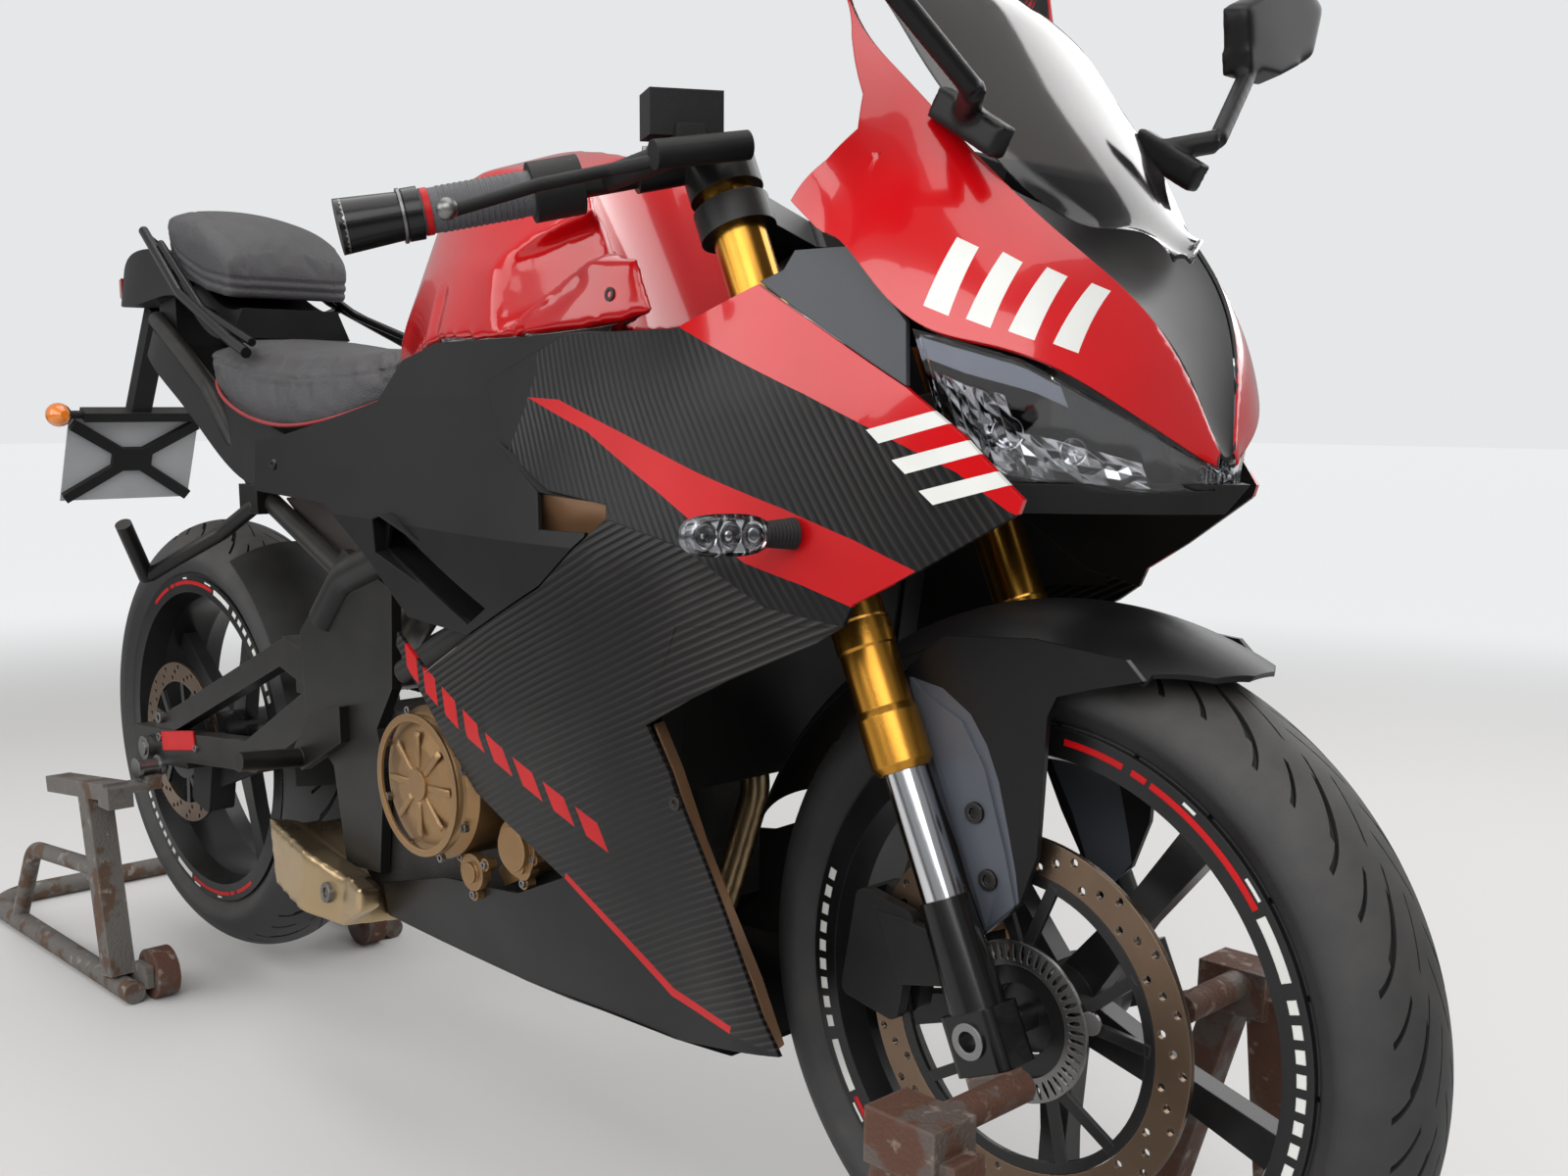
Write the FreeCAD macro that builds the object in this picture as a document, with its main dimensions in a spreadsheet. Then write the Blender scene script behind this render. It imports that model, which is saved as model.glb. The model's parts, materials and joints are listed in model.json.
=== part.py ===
import FreeCAD, Part
import math
import os
import Sketcher

# Sport bike of the 250 class with a full fairing, standing upright on a rear paddock stand
# that lifts it by the swingarm spools and a front stand that lifts it under the fork legs.
# Millimetres. +X forward, +Y the rider's left, +Z up, floor at Z = 0, middle of the wheelbase at X = 0.

V = FreeCAD.Vector
doc = FreeCAD.newDocument("SportBike")

# Driving sizes: alias, value in millimetres or degrees, meaning
SIZES = [
    ("wheel_base", 1382, "distance between the axles"),
    ("axle_height", 336, "height of both axles on the stands"),
    ("rake", 24.5, "steering angle from the vertical, degrees"),
    ("fork_offset", 33, "axle ahead of the steering axis"),
    ("steering_lock", 26, "steering lock to each side, degrees"),
    ("fork_spacing", 203, "distance between the fork legs"),
    ("front_tyre_radius", 293, "outer radius of the front tyre"),
    ("front_tyre_width", 110, "width of the front tyre"),
    ("rear_tyre_radius", 300, "outer radius of the rear tyre"),
    ("rear_tyre_width", 140, "width of the rear tyre"),
    ("bead_radius", 216, "radius of a 17 inch bead seat"),
    ("flange_radius", 227, "outer radius of the rim flanges"),
    ("front_rim_half", 46, "half width of the front rim"),
    ("rear_rim_half", 61, "half width of the rear rim"),
    ("front_hub_half", 50, "half width of the front hub"),
    ("rear_hub_half", 74, "half width of the rear hub"),
    ("hub_radius", 34, "radius of a wheel hub"),
    ("spoke_thick", 20, "width of a spoke along the axle"),
    ("spoke_count", 5, "number of spokes"),
    ("front_spoke_turn", 18, "angle of the front wheel's first spoke below the level, degrees"),
    ("axle_radius", 10, "radius of both axles"),
    ("front_disc_radius", 146, "outer radius of the front brake disc"),
    ("front_disc_band", 28, "width of the front disc's swept band"),
    ("rear_disc_radius", 110, "outer radius of the rear brake disc"),
    ("disc_thick", 4.5, "thickness of a brake disc"),
    ("front_disc_offset", 60, "front disc to the right of the middle plane"),
    ("rear_disc_offset", 88, "rear disc to the right of the middle plane"),
    ("chain_offset", 90, "chain line to the left of the middle plane"),
    ("sprocket_radius", 92, "outer radius of the rear sprocket"),
    ("slider_radius", 16.5, "radius of the chromed fork slider"),
    ("fork_tube_radius", 22, "radius of the upper fork tube"),
    ("stem_radius", 14, "radius of the steering stem"),
    ("grip_radius", 17, "radius of the handlebar grips"),
    ("panel_thick", 4, "thickness of the fairing panels"),
    ("screen_thick", 3, "thickness of the windscreen"),
    ("clutch_cover_radius", 76, "radius of the round clutch cover"),
    ("engine_length", 380, "length of the crankcase"),
    ("engine_width", 280, "width of the crankcase"),
    ("engine_height", 210, "height of the crankcase"),
    ("radiator_width", 290, "width of the radiator core"),
    ("radiator_height", 250, "height of the radiator core"),
    ("radiator_thick", 28, "thickness of the radiator core"),
    ("plate_width", 198, "width of the number plate"),
    ("plate_height", 138, "height of the number plate"),
    ("plate_thick", 2, "thickness of the number plate"),
    ("swingarm_height", 38, "height of a swingarm beam"),
    ("swingarm_width", 26, "width of a swingarm beam"),
    ("spool_radius", 14, "radius of the swingarm spools"),
    ("stand_tube_radius", 15, "radius of the tubes of both stands"),
    ("stand_box", 34, "side of the square uprights of both stands"),
    ("stand_half_width", 200, "half width of the rear stand"),
    ("front_stand_half_width", 216, "half width of the front stand"),
    ("stand_reach", 1210, "how far each stand's handle reaches from the middle"),
    ("roller_radius", 34, "radius of the rear stand's rollers"),
    ("running_gap", 0.05, "radial clearance of a hub on its axle"),
    ("seat_gap", 0.3, "gap between a piece and what it rests on across a joint"),
]

sheet = doc.addObject("Spreadsheet::Sheet", "Sizes")
for row, (alias, value, meaning) in enumerate(SIZES, start=1):
    sheet.set("A%d" % row, meaning)
    sheet.set("B%d" % row, str(value))
    sheet.setAlias("B%d" % row, alias)
doc.recompute()


def size(alias):
    return float(sheet.get(alias))


NODES = []


def keep(item, node, place=None):
    """Give a sub-part its name and place, and list it for export."""
    item.Label = node
    if place is not None:
        item.Placement = place
    NODES.append(item)
    return item


def feature(node, shape, place=None):
    item = doc.addObject("Part::Feature", node)
    item.Shape = shape
    return keep(item, node, place)


# Shapes that several pieces use

def outline(points):
    return Part.makePolygon(list(points) + [points[0]])


def side_prism(corners, y_from, y_to):
    """Prism along Y over an outline of (x, z) corners."""
    wire = outline([V(x, y_from, z) for x, z in corners])
    return Part.Face(wire).extrude(V(0, y_to - y_from, 0))


def plan_prism(corners, z_from, z_to):
    """Prism along Z over an outline of (x, y) corners."""
    wire = outline([V(x, y, z_from) for x, y in corners])
    return Part.Face(wire).extrude(V(0, 0, z_to - z_from))


def loft(wires, ruled=False):
    return Part.makeLoft(wires, True, ruled)


def bar(start, end, radius):
    run = end - start
    return Part.makeCylinder(radius, run.Length, start, run)


def box_bar(start, end, width, height):
    """Rectangular bar between two points: width across Y, height square to the run."""
    run = end - start
    side = V(0, 1, 0)
    up = run.cross(side)
    up.normalize()
    corners = [start + side * (a * width / 2) + up * (b * height / 2)
               for a, b in ((-1, -1), (1, -1), (1, 1), (-1, 1))]
    return Part.Face(outline(corners)).extrude(run)


def tube(points, radius, bend):
    """Round tube along straight runs joined by tangent arcs of one bend radius."""
    edges = []
    last = points[0]
    for before, corner, after in zip(points, points[1:], points[2:]):
        into = (before - corner).normalize()
        out = (after - corner).normalize()
        half = into.getAngle(out) / 2
        cut = bend / math.tan(half)
        start = corner + into * cut
        end = corner + out * cut
        middle_way = (into + out).normalize()
        middle = corner + middle_way * (bend / math.sin(half) - bend)
        edges.append(Part.LineSegment(last, start).toShape())
        edges.append(Part.Arc(start, middle, end).toShape())
        last = end
    edges.append(Part.LineSegment(last, points[-1]).toShape())
    path = Part.Wire(edges)
    ring = Part.Wire(Part.makeCircle(radius, points[0], points[1] - points[0]))
    return path.makePipeShell([ring], True, True)


def mirrored(shape):
    return shape.mirror(V(0, 0, 0), V(0, 1, 0))


def both(shape):
    """The shape and its mirror image on the other side."""
    return Part.makeCompound([shape, mirrored(shape)])


def joined(first, *others):
    return first.fuse(list(others)).removeSplitter()


def ring(outer, inner, y_from, y_to, centre=V(0, 0, 0)):
    """Ring round an axis along Y."""
    start = V(centre.x, y_from, centre.z)
    body = Part.makeCylinder(outer, y_to - y_from, start, V(0, 1, 0))
    return body.cut(Part.makeCylinder(inner, y_to - y_from, start, V(0, 1, 0)))


def disc(radius, y_from, y_to, centre=V(0, 0, 0)):
    return Part.makeCylinder(radius, y_to - y_from, V(centre.x, y_from, centre.z), V(0, 1, 0))


def section(x, profile):
    """Closed outline at one X from (y, z) corners."""
    return outline([V(x, y, z) for y, z in profile])


def arch(x, half, edge, crown, thick):
    """Closed thin arch at one X: outer arc, two ends and an inner arc."""
    outer = Part.Arc(V(x, -half, edge), V(x, 0, crown), V(x, half, edge)).toShape()
    inner_half = half - thick
    inner = Part.Arc(V(x, inner_half, edge), V(x, 0, crown - thick), V(x, -inner_half, edge)).toShape()
    left = Part.LineSegment(V(x, half, edge), V(x, inner_half, edge)).toShape()
    right = Part.LineSegment(V(x, -inner_half, edge), V(x, -half, edge)).toShape()
    return Part.Wire([outer, left, inner, right])


# Places that follow from the sizes

FRONT_X = size("wheel_base") / 2
REAR_X = -size("wheel_base") / 2
HUB_Z = size("axle_height")
FRONT_HUB = V(FRONT_X, 0, HUB_Z)
REAR_HUB = V(REAR_X, 0, HUB_Z)
RAKE = math.radians(size("rake"))
UP_FORK = V(-math.sin(RAKE), 0, math.cos(RAKE))
AHEAD_FORK = V(math.cos(RAKE), 0, math.sin(RAKE))
LEG_Y = size("fork_spacing") / 2
STEM_X = -size("fork_offset")
AXLE = size("axle_radius")
GAP = size("seat_gap")
AT_FRONT = FreeCAD.Placement(FRONT_HUB, FreeCAD.Rotation())
AT_FRONT_RIM = FreeCAD.Placement(FRONT_HUB, FreeCAD.Rotation(V(0, 1, 0), size("front_spoke_turn")))
AT_REAR = FreeCAD.Placement(REAR_HUB, FreeCAD.Rotation())
# In the fork's own frame Z runs up the legs, X points ahead of them and the origin is the axle.
AT_FORK = FreeCAD.Placement(FRONT_HUB, FreeCAD.Rotation(V(0, 1, 0), -size("rake")))


def in_fork(x, y, z):
    """A point of the bike in the fork's own frame."""
    return AT_FORK.inverse().multVec(V(x, y, z))


# Tyres: a round crown between bulged walls, on the bead seats

def tyre(node, radius, width, rim_half, place):
    half = width / 2
    bead = size("bead_radius")
    bead_half = rim_half - 5
    shoulder = radius - width * 0.28
    a = V(bead, -bead_half, 0)
    b = V(size("flange_radius") + 1, -bead_half, 0)
    c = V(shoulder, -half * 0.95, 0)
    bulge = (b.x + shoulder) / 2
    edges = [Part.LineSegment(a, b).toShape(),
             Part.Arc(b, V(bulge, -half, 0), c).toShape(),
             Part.Arc(c, V(radius, 0, 0), V(c.x, -c.y, 0)).toShape(),
             Part.Arc(V(c.x, -c.y, 0), V(bulge, half, 0), V(b.x, -b.y, 0)).toShape(),
             Part.LineSegment(V(b.x, -b.y, 0), V(a.x, -a.y, 0)).toShape(),
             Part.LineSegment(V(a.x, -a.y, 0), a).toShape()]
    face = Part.Face(Part.Wire(edges))
    return feature(node, face.revolve(V(0, 0, 0), V(0, 1, 0), 360), place)


tyre("front_tyre", size("front_tyre_radius"), size("front_tyre_width"), size("front_rim_half"),
     AT_FRONT)
tyre("rear_tyre", size("rear_tyre_radius"), size("rear_tyre_width"), size("rear_rim_half"), AT_REAR)


# Wheels: a turned rim, straight spokes in a circular pattern and a bored hub

def origin_feature(body, role):
    return [item for item in body.Origin.OriginFeatures if item.Role == role][0]


def sketch_on(body, name, role, corners):
    """Closed sketch through corners whose two coordinates are expressions on the sheet."""
    sketch = body.newObject("Sketcher::SketchObject", name)
    sketch.AttachmentSupport = [(origin_feature(body, role), "")]
    sketch.MapMode = "FlatFace"
    values = [tuple(float(sheet_value(text)) for text in corner) for corner in corners]
    count = len(values)
    for index in range(count):
        start = V(values[index][0], values[index][1], 0)
        end = V(values[(index + 1) % count][0], values[(index + 1) % count][1], 0)
        sketch.addGeometry(Part.LineSegment(start, end), False)
    for index in range(count):
        sketch.addConstraint(Sketcher.Constraint("Coincident", index, 2, (index + 1) % count, 1))
    for index, corner in enumerate(corners):
        for way, text in zip(("DistanceX", "DistanceY"), corner):
            number = sketch.addConstraint(
                Sketcher.Constraint(way, -1, 1, index, 1, float(sheet_value(text))))
            sketch.setExpression("Constraints[%d]" % number, text)
    return sketch


def sheet_value(text):
    """Number that an expression on the sheet's sizes stands for."""
    names = {alias: float(sheet.get(alias)) for alias, value, meaning in SIZES}
    total = 0.0
    sign = 1.0
    for word in text.replace("-", " - ").replace("+", " + ").split():
        if word == "-":
            sign = -1.0
        elif word == "+":
            sign = 1.0
        else:
            term = 1.0
            for factor in word.split("*"):
                term *= names[factor[6:]] if factor.startswith("Sizes.") else float(factor)
            total += sign * term
            sign = 1.0
    return total


def wheel(node, half, hub_half, place):
    body = doc.addObject("PartDesign::Body", node)
    rim_profile = [
        ("Sizes.bead_radius - 20", "0 - Sizes.%s * 0.5".replace(" * ", "*") % half),
        ("Sizes.bead_radius - 12", "0 - Sizes.%s" % half),
        ("Sizes.flange_radius", "0 - Sizes.%s" % half),
        ("Sizes.flange_radius", "5 - Sizes.%s" % half),
        ("Sizes.bead_radius", "5 - Sizes.%s" % half),
        ("Sizes.bead_radius", "Sizes.%s - 5" % half),
        ("Sizes.flange_radius", "Sizes.%s - 5" % half),
        ("Sizes.flange_radius", "Sizes.%s" % half),
        ("Sizes.bead_radius - 12", "Sizes.%s" % half),
        ("Sizes.bead_radius - 20", "Sizes.%s*0.5" % half),
    ]
    profile = sketch_on(body, node + "_profile", "XY_Plane", rim_profile)
    rim = body.newObject("PartDesign::Revolution", node + "_turned")
    rim.Profile = profile
    rim.ReferenceAxis = (profile, ["V_Axis"])
    rim.Angle = 360
    doc.recompute()
    spoke_sketch = sketch_on(body, node + "_spoke", "XZ_Plane", [
        ("Sizes.hub_radius*0.6", "-18"),
        ("Sizes.bead_radius*0.5", "-12"),
        ("Sizes.bead_radius - 12", "-15"),
        ("Sizes.bead_radius - 12", "15"),
        ("Sizes.bead_radius*0.5", "12"),
        ("Sizes.hub_radius*0.6", "18"),
    ])
    spoke = body.newObject("PartDesign::Pad", node + "_spoke_pad")
    spoke.Profile = spoke_sketch
    spoke.Midplane = True
    spoke.setExpression("Length", "Sizes.spoke_thick")
    doc.recompute()
    spokes = body.newObject("PartDesign::PolarPattern", node + "_spokes")
    spokes.Originals = [spoke]
    spokes.Axis = (origin_feature(body, "Y_Axis"), [""])
    spokes.Angle = 360
    spokes.setExpression("Occurrences", "Sizes.spoke_count")
    body.Tip = spokes
    doc.recompute()
    hub_profile = sketch_on(body, node + "_hub_profile", "XY_Plane", [
        ("Sizes.axle_radius + Sizes.running_gap", "0 - Sizes.%s" % hub_half),
        ("Sizes.hub_radius - 6", "0 - Sizes.%s" % hub_half),
        ("Sizes.hub_radius", "0 - Sizes.%s*0.5" % hub_half),
        ("Sizes.hub_radius", "Sizes.%s*0.5" % hub_half),
        ("Sizes.hub_radius - 6", "Sizes.%s" % hub_half),
        ("Sizes.axle_radius + Sizes.running_gap", "Sizes.%s" % hub_half),
    ])
    hub = body.newObject("PartDesign::Revolution", node + "_hub")
    hub.Profile = hub_profile
    hub.ReferenceAxis = (hub_profile, ["V_Axis"])
    hub.Angle = 360
    body.Tip = hub
    return keep(body, node, place)


wheel("front_rim", "front_rim_half", "front_hub_half", AT_FRONT_RIM)
wheel("rear_rim", "rear_rim_half", "rear_hub_half", AT_REAR)


# Brake discs on their carriers, with the slotted speed ring on the front one

def brake_disc(radius, band, offset, hub_face, arms):
    """Swept band, carrier arms and bell of a disc, round the Y axis."""
    thick = size("disc_thick")
    swept = ring(radius, radius - band, -offset - thick / 2, -offset + thick / 2)
    bell = ring(48, 29, -offset - thick / 2, -hub_face)
    pieces = [bell]
    for number in range(arms):
        arm = Part.makeBox(radius - band - 36 + 4, thick, 22, V(36, -offset - thick / 2, -11))
        arm.rotate(V(0, 0, 0), V(0, 1, 0), 360 / arms * number + 18)
        pieces.append(arm)
    return joined(swept, *pieces)


FRONT_DISC_Y = size("front_disc_offset")
REAR_DISC_Y = size("rear_disc_offset")
front_disc = brake_disc(size("front_disc_radius"), size("front_disc_band"), FRONT_DISC_Y,
                        size("front_hub_half"), 5)
feature("rear_disc",
        brake_disc(size("rear_disc_radius"), 26, REAR_DISC_Y, size("rear_hub_half"), 5),
        AT_REAR)

RING_FACE = FRONT_DISC_Y + size("disc_thick") / 2
tone = ring(63, 47, -RING_FACE - 3, -RING_FACE)
for number in range(3):
    tab = disc(9, -RING_FACE - 3, -RING_FACE, V(68, 0, 0))
    tab.rotate(V(0, 0, 0), V(0, 1, 0), 120 * number + 15)
    tone = tone.fuse(tab)
feature("front_disc", joined(front_disc, tone), AT_FRONT)

# Rear sprocket with teeth between the chain's plates
TOOTH_COUNT = 43
CHAIN_Y = size("chain_offset")
SPROCKET = size("sprocket_radius")


def toothed(radius, count, thick, bore):
    """Sprocket round the Y axis: each tooth is a triangle on the rim."""
    corners = []
    for number in range(count):
        base = 2 * math.pi * number / count
        half_pitch = math.pi / count
        corners.append(V((radius - 6) * math.cos(base), 0, (radius - 6) * math.sin(base)))
        tip = base + half_pitch
        corners.append(V(radius * math.cos(tip), 0, radius * math.sin(tip)))
    face = Part.Face(outline(corners))
    plate = face.extrude(V(0, thick, 0))
    return plate.cut(disc(bore, -1, thick + 1))


rear_sprocket = toothed(SPROCKET, TOOTH_COUNT, 6, 29)
rear_sprocket.translate(V(0, CHAIN_Y - 3, 0))
rear_sprocket = joined(rear_sprocket, ring(48, 29, size("rear_hub_half"), CHAIN_Y - 3))
feature("rear_sprocket", rear_sprocket, AT_REAR)

# Fork, in its own frame: cast lowers, chromed sliders and gold upper tubes
SLIDER_LOW = 104
TUBE_LOW = 204
FORK_TOP = 716
FOOT_LOW = -26
SLIDER = size("slider_radius")
TUBE_R = size("fork_tube_radius")


def fork_lower(side):
    y = side * LEG_Y
    leg = Part.makeCone(22, 19.5, SLIDER_LOW - 20, V(0, y, 20), V(0, 0, 1))
    clamp = Part.makeBox(50, 40, 20 - FOOT_LOW, V(-25, y - 20, FOOT_LOW))
    clamp = clamp.makeFillet(8, [edge for edge in clamp.Edges
                                 if abs(edge.Vertexes[0].X - edge.Vertexes[1].X) < 1
                                 and abs(edge.Vertexes[0].Y - edge.Vertexes[1].Y) < 1])
    body = joined(leg, clamp)
    return body.cut(disc(AXLE, y - 40, y + 40))


def fork_slider(side):
    return Part.makeCylinder(SLIDER, TUBE_LOW - SLIDER_LOW, V(0, side * LEG_Y, SLIDER_LOW))


def fork_tube(side):
    """Upper tube with its seal collar, dust collar and top cap."""
    y = side * LEG_Y
    profile = [(0, TUBE_LOW), (TUBE_R - 2, TUBE_LOW), (TUBE_R + 2, TUBE_LOW + 6),
               (TUBE_R + 2, TUBE_LOW + 44),
               (TUBE_R, TUBE_LOW + 50), (TUBE_R, TUBE_LOW + 96), (TUBE_R + 1.5, TUBE_LOW + 98),
               (TUBE_R + 1.5, TUBE_LOW + 118), (TUBE_R, TUBE_LOW + 120), (TUBE_R, FORK_TOP - 6),
               (TUBE_R - 5, FORK_TOP), (0, FORK_TOP)]
    face = Part.Face(outline([V(r, y, s) for r, s in profile]))
    return face.revolve(V(0, y, 0), V(0, 0, 1), 360)


feature("fork_lowers", Part.makeCompound([fork_lower(-1), fork_lower(1)]), AT_FORK)
feature("fork_sliders", Part.makeCompound([fork_slider(-1), fork_slider(1)]), AT_FORK)
feature("fork_tubes", Part.makeCompound([fork_tube(-1), fork_tube(1)]), AT_FORK)

# Front axle with a hollow head on the right
AXLE_HALF = 124
axle = disc(AXLE, -AXLE_HALF, AXLE_HALF)
axle = joined(axle, disc(15, LEG_Y + 20, AXLE_HALF), disc(14, -AXLE_HALF, -LEG_Y - 20))
axle = axle.cut(disc(8, -AXLE_HALF - 1, -AXLE_HALF + 17))
feature("front_axle", axle, AT_FRONT)

# Triple clamps on the stem, in the fork's frame
LOWER_CLAMP = (478, 508)
UPPER_CLAMP = (648, 672)


def clamp_plate(low, high):
    """Plate with an eye round each leg and a round middle on the stem."""
    middle = Part.makeCylinder(27, high - low, V(STEM_X, 0, low))
    pieces = []
    for side in (-1, 1):
        pieces.append(Part.makeCylinder(TUBE_R + 9, high - low, V(0, side * LEG_Y, low)))
        arm = plan_prism([(STEM_X - 22, 0), (STEM_X + 24, 0), (24, side * (LEG_Y - 12)),
                          (-24, side * LEG_Y)],
                         low, high)
        pieces.append(arm)
    plate = joined(middle, *pieces)
    for side in (-1, 1):
        plate = plate.cut(Part.makeCylinder(TUBE_R, high - low, V(0, side * LEG_Y, low)))
    return plate


stem = Part.makeCylinder(size("stem_radius"), UPPER_CLAMP[1] - LOWER_CLAMP[0] + 8,
                         V(STEM_X, 0, LOWER_CLAMP[0]))
RACE = 4 - GAP
races = [Part.makeCylinder(24, RACE, V(STEM_X, 0, low)) for low in (LOWER_CLAMP[1],
                                                                    UPPER_CLAMP[0] - RACE)]
feature("triple_clamps", joined(clamp_plate(*LOWER_CLAMP), clamp_plate(*UPPER_CLAMP), stem, *races),
        AT_FORK)

# Clip-on handlebars: a clamp round each leg and a bar that runs out, back and down
CLIP = (682, 710)
BAR_ROOT = V(393, -LEG_Y, 985)
BAR_END = V(254, -362, 925)
BAR_RUN = BAR_END - BAR_ROOT


def along_bar(share):
    """Point of the right bar in the fork's frame, from its root to its end."""
    place = BAR_ROOT + BAR_RUN * share
    return in_fork(place.x, place.y, place.z)


clip = Part.makeCylinder(TUBE_R + 8, CLIP[1] - CLIP[0], V(0, -LEG_Y, CLIP[0]))
clip = clip.fuse(bar(along_bar(0.0), along_bar(0.22), 15))
clip = clip.fuse(bar(along_bar(0.1), along_bar(0.5), 11))
clip = clip.cut(Part.makeCylinder(TUBE_R, 60, V(0, -LEG_Y, CLIP[0] - 20))).removeSplitter()
feature("handlebars", both(clip), AT_FORK)

GRIP = size("grip_radius")
grip = bar(along_bar(0.5), along_bar(0.81), GRIP)
collar = bar(along_bar(0.79), along_bar(0.83), GRIP + 3)
weight_start = along_bar(0.83)
weight_end = along_bar(1.0)
weight = Part.makeCone(GRIP + 1, GRIP + 4, (weight_end - weight_start).Length, weight_start,
                       weight_end - weight_start)
feature("grips", both(joined(grip, collar, weight)), AT_FORK)

# Switch housings, lever perches, levers and the brake fluid reservoir
housing = bar(along_bar(0.37), along_bar(0.5), 23).cut(bar(along_bar(0.3), along_bar(0.55), 11))


def placed(points):
    """Points of the bike in the fork's own frame."""
    return [in_fork(*point) for point in points]


lever = tube(placed([(424, -186, 974), (388, -206, 968), (368, -256, 955), (346, -330, 930)]), 5, 12)
pump_ends = placed([(428, -196, 976), (453, -122, 988)])
pump = bar(pump_ends[0], pump_ends[1], 11)
perch = bar(along_bar(0.3), placed([(432, -180, 978)])[0], 10).cut(bar(along_bar(0.2), along_bar(0.5),
                                                                       11))
AT_POT = FreeCAD.Placement(V(408, -150, 1011), FreeCAD.Rotation(V(0, 0, 1), -28))
reservoir = Part.makeBox(36, 58, 34, V(-18, -29, -17))
reservoir = joined(reservoir, Part.makeBox(48, 22, 24, V(-15, -11, -34)))
reservoir.Placement = AT_FORK.inverse().multiply(AT_POT)
controls = joined(housing, perch, lever, pump)
right_controls = joined(controls, reservoir)
left_controls = mirrored(controls)
feature("bar_controls", Part.makeCompound([right_controls.cut(clip),
                                           left_controls.cut(mirrored(clip))]), AT_FORK)

# Front mudguard: an arched band over the tyre with flat stays bolted inside the fork legs
FENDER_R = size("front_tyre_radius") + 22
FENDER_HALF = size("front_tyre_width") / 2 + 19


def fender_band(y_half, r_outer, thick):
    """Thin arched cross-section of the mudguard turned round the axle."""
    rim_drop = 26
    outer = [V(r_outer - rim_drop, 0, -y_half), V(r_outer, 0, 0), V(r_outer - rim_drop, 0, y_half)]
    inner = [V(r_outer - rim_drop, 0, y_half - thick), V(r_outer - thick, 0, 0),
             V(r_outer - rim_drop, 0, thick - y_half)]
    edges = [Part.Arc(*outer).toShape(), Part.LineSegment(outer[2], inner[0]).toShape(),
             Part.Arc(*inner).toShape(), Part.LineSegment(inner[2], outer[0]).toShape()]
    face = Part.Face(Part.Wire(edges))
    face.rotate(V(0, 0, 0), V(1, 0, 0), 90)
    return face


FENDER_FRONT = 62
FENDER_REAR = 158
band = fender_band(FENDER_HALF, FENDER_R, 4)
band.rotate(V(0, 0, 0), V(0, 1, 0), -FENDER_FRONT)
band = band.revolve(V(0, 0, 0), V(0, 1, 0), -(FENDER_REAR - FENDER_FRONT))
tip_cut = plan_prism([(100, 64), (134, 40), (152, 4), (190, 4), (190, 120), (100, 120)], 150, 400)
band = band.cut([tip_cut, mirrored(tip_cut)])


def at_wheel(corners, y_from, y_to):
    """Side prism from (x, z) corners of the bike, in the front wheel's frame."""
    return side_prism([(x - FRONT_X, z - HUB_Z) for x, z in corners], y_from, y_to)


STAY_FACE = -FENDER_HALF - 3
stay = at_wheel([(586, 596), (594, 552), (606, 510), (629, 465), (668, 402), (698, 431), (712, 471),
                 (716, 576), (723, 591),
                 (751, 600), (792, 611), (778, 624), (700, 630), (620, 624)], STAY_FACE, STAY_FACE + 5)
pad_corners = [(590, 590), (602, 580), (642, 562), (664, 530), (685, 471), (696, 431), (668, 404),
               (630, 466), (608, 510),
               (596, 552)]
fender = joined(band, stay, mirrored(stay))
pad = at_wheel(pad_corners, STAY_FACE - 2.5, STAY_FACE)
LEG_FOOT = V(0, -LEG_Y, 0)
leg_room = bar(LEG_FOOT, LEG_FOOT + UP_FORK * 400, TUBE_R + 3)
fender = joined(fender, pad, mirrored(pad)).cut([leg_room, mirrored(leg_room)])
feature("front_fender", fender, AT_FRONT)

# Front brake caliper on the back of the right leg, open over the disc
CALIPER_ANGLE = 170


def caliper(radius, offset, angle, depth, y_low, y_high):
    """Two-piston caliper astride a disc: a block with a slot for the disc."""
    block = Part.makeBox(depth, y_high - y_low, 96, V(radius - depth + 16, y_low, -48))
    block = block.makeFillet(9, [edge for edge in block.Edges
                                 if abs(edge.Vertexes[0].Y - edge.Vertexes[1].Y) > 1])
    slot = Part.makeBox(depth, size("disc_thick") + 10, 100,
                        V(radius - depth + 6, -offset - size("disc_thick") / 2 - 5, -50))
    block = block.cut(slot)
    block.rotate(V(0, 0, 0), V(0, 1, 0), -angle)
    return block


front_caliper = caliper(size("front_disc_radius"), FRONT_DISC_Y, CALIPER_ANGLE, 62, -78, -36)
front_caliper = front_caliper.cut(disc(size("front_disc_radius") + 5, -FRONT_DISC_Y - 7.3,
                                       -FRONT_DISC_Y + 7.3))
caliper_lug = side_prism([(-128, 60), (-104, 60), (-34, 52), (-30, 22), (-104, 4)], -LEG_Y + SLIDER + 5,
                         -72)
right_leg = fork_lower(-1)
right_leg.rotate(V(0, 0, 0), V(0, 1, 0), -size("rake"))
feature("front_caliper", joined(front_caliper, caliper_lug).cut(right_leg), AT_FRONT)

# Headstock, spars, pivot plates and rear rails of the frame
HEAD_LOW = LOWER_CLAMP[1] + 4
HEAD_HIGH = UPPER_CLAMP[0] - 4
head_low = AT_FORK.multVec(V(STEM_X, 0, HEAD_LOW))
head_high = AT_FORK.multVec(V(STEM_X, 0, HEAD_HIGH))
headstock = bar(head_low, head_high, 30)
stem_bore = bar(head_low - UP_FORK * 20, head_high + UP_FORK * 20,
                size("stem_radius") + size("running_gap"))
PIVOT = V(-214, 0, 478)
PLATE_Y = 128
PLATE_CORNERS = [(-150, 640), (-54, 604), (-60, 500), (-94, 452), (-82, 412), (-98, 292), (-168, 287),
                 (-188, 396),
                 (-246, 436), (-252, 540), (-200, 590)]


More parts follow.
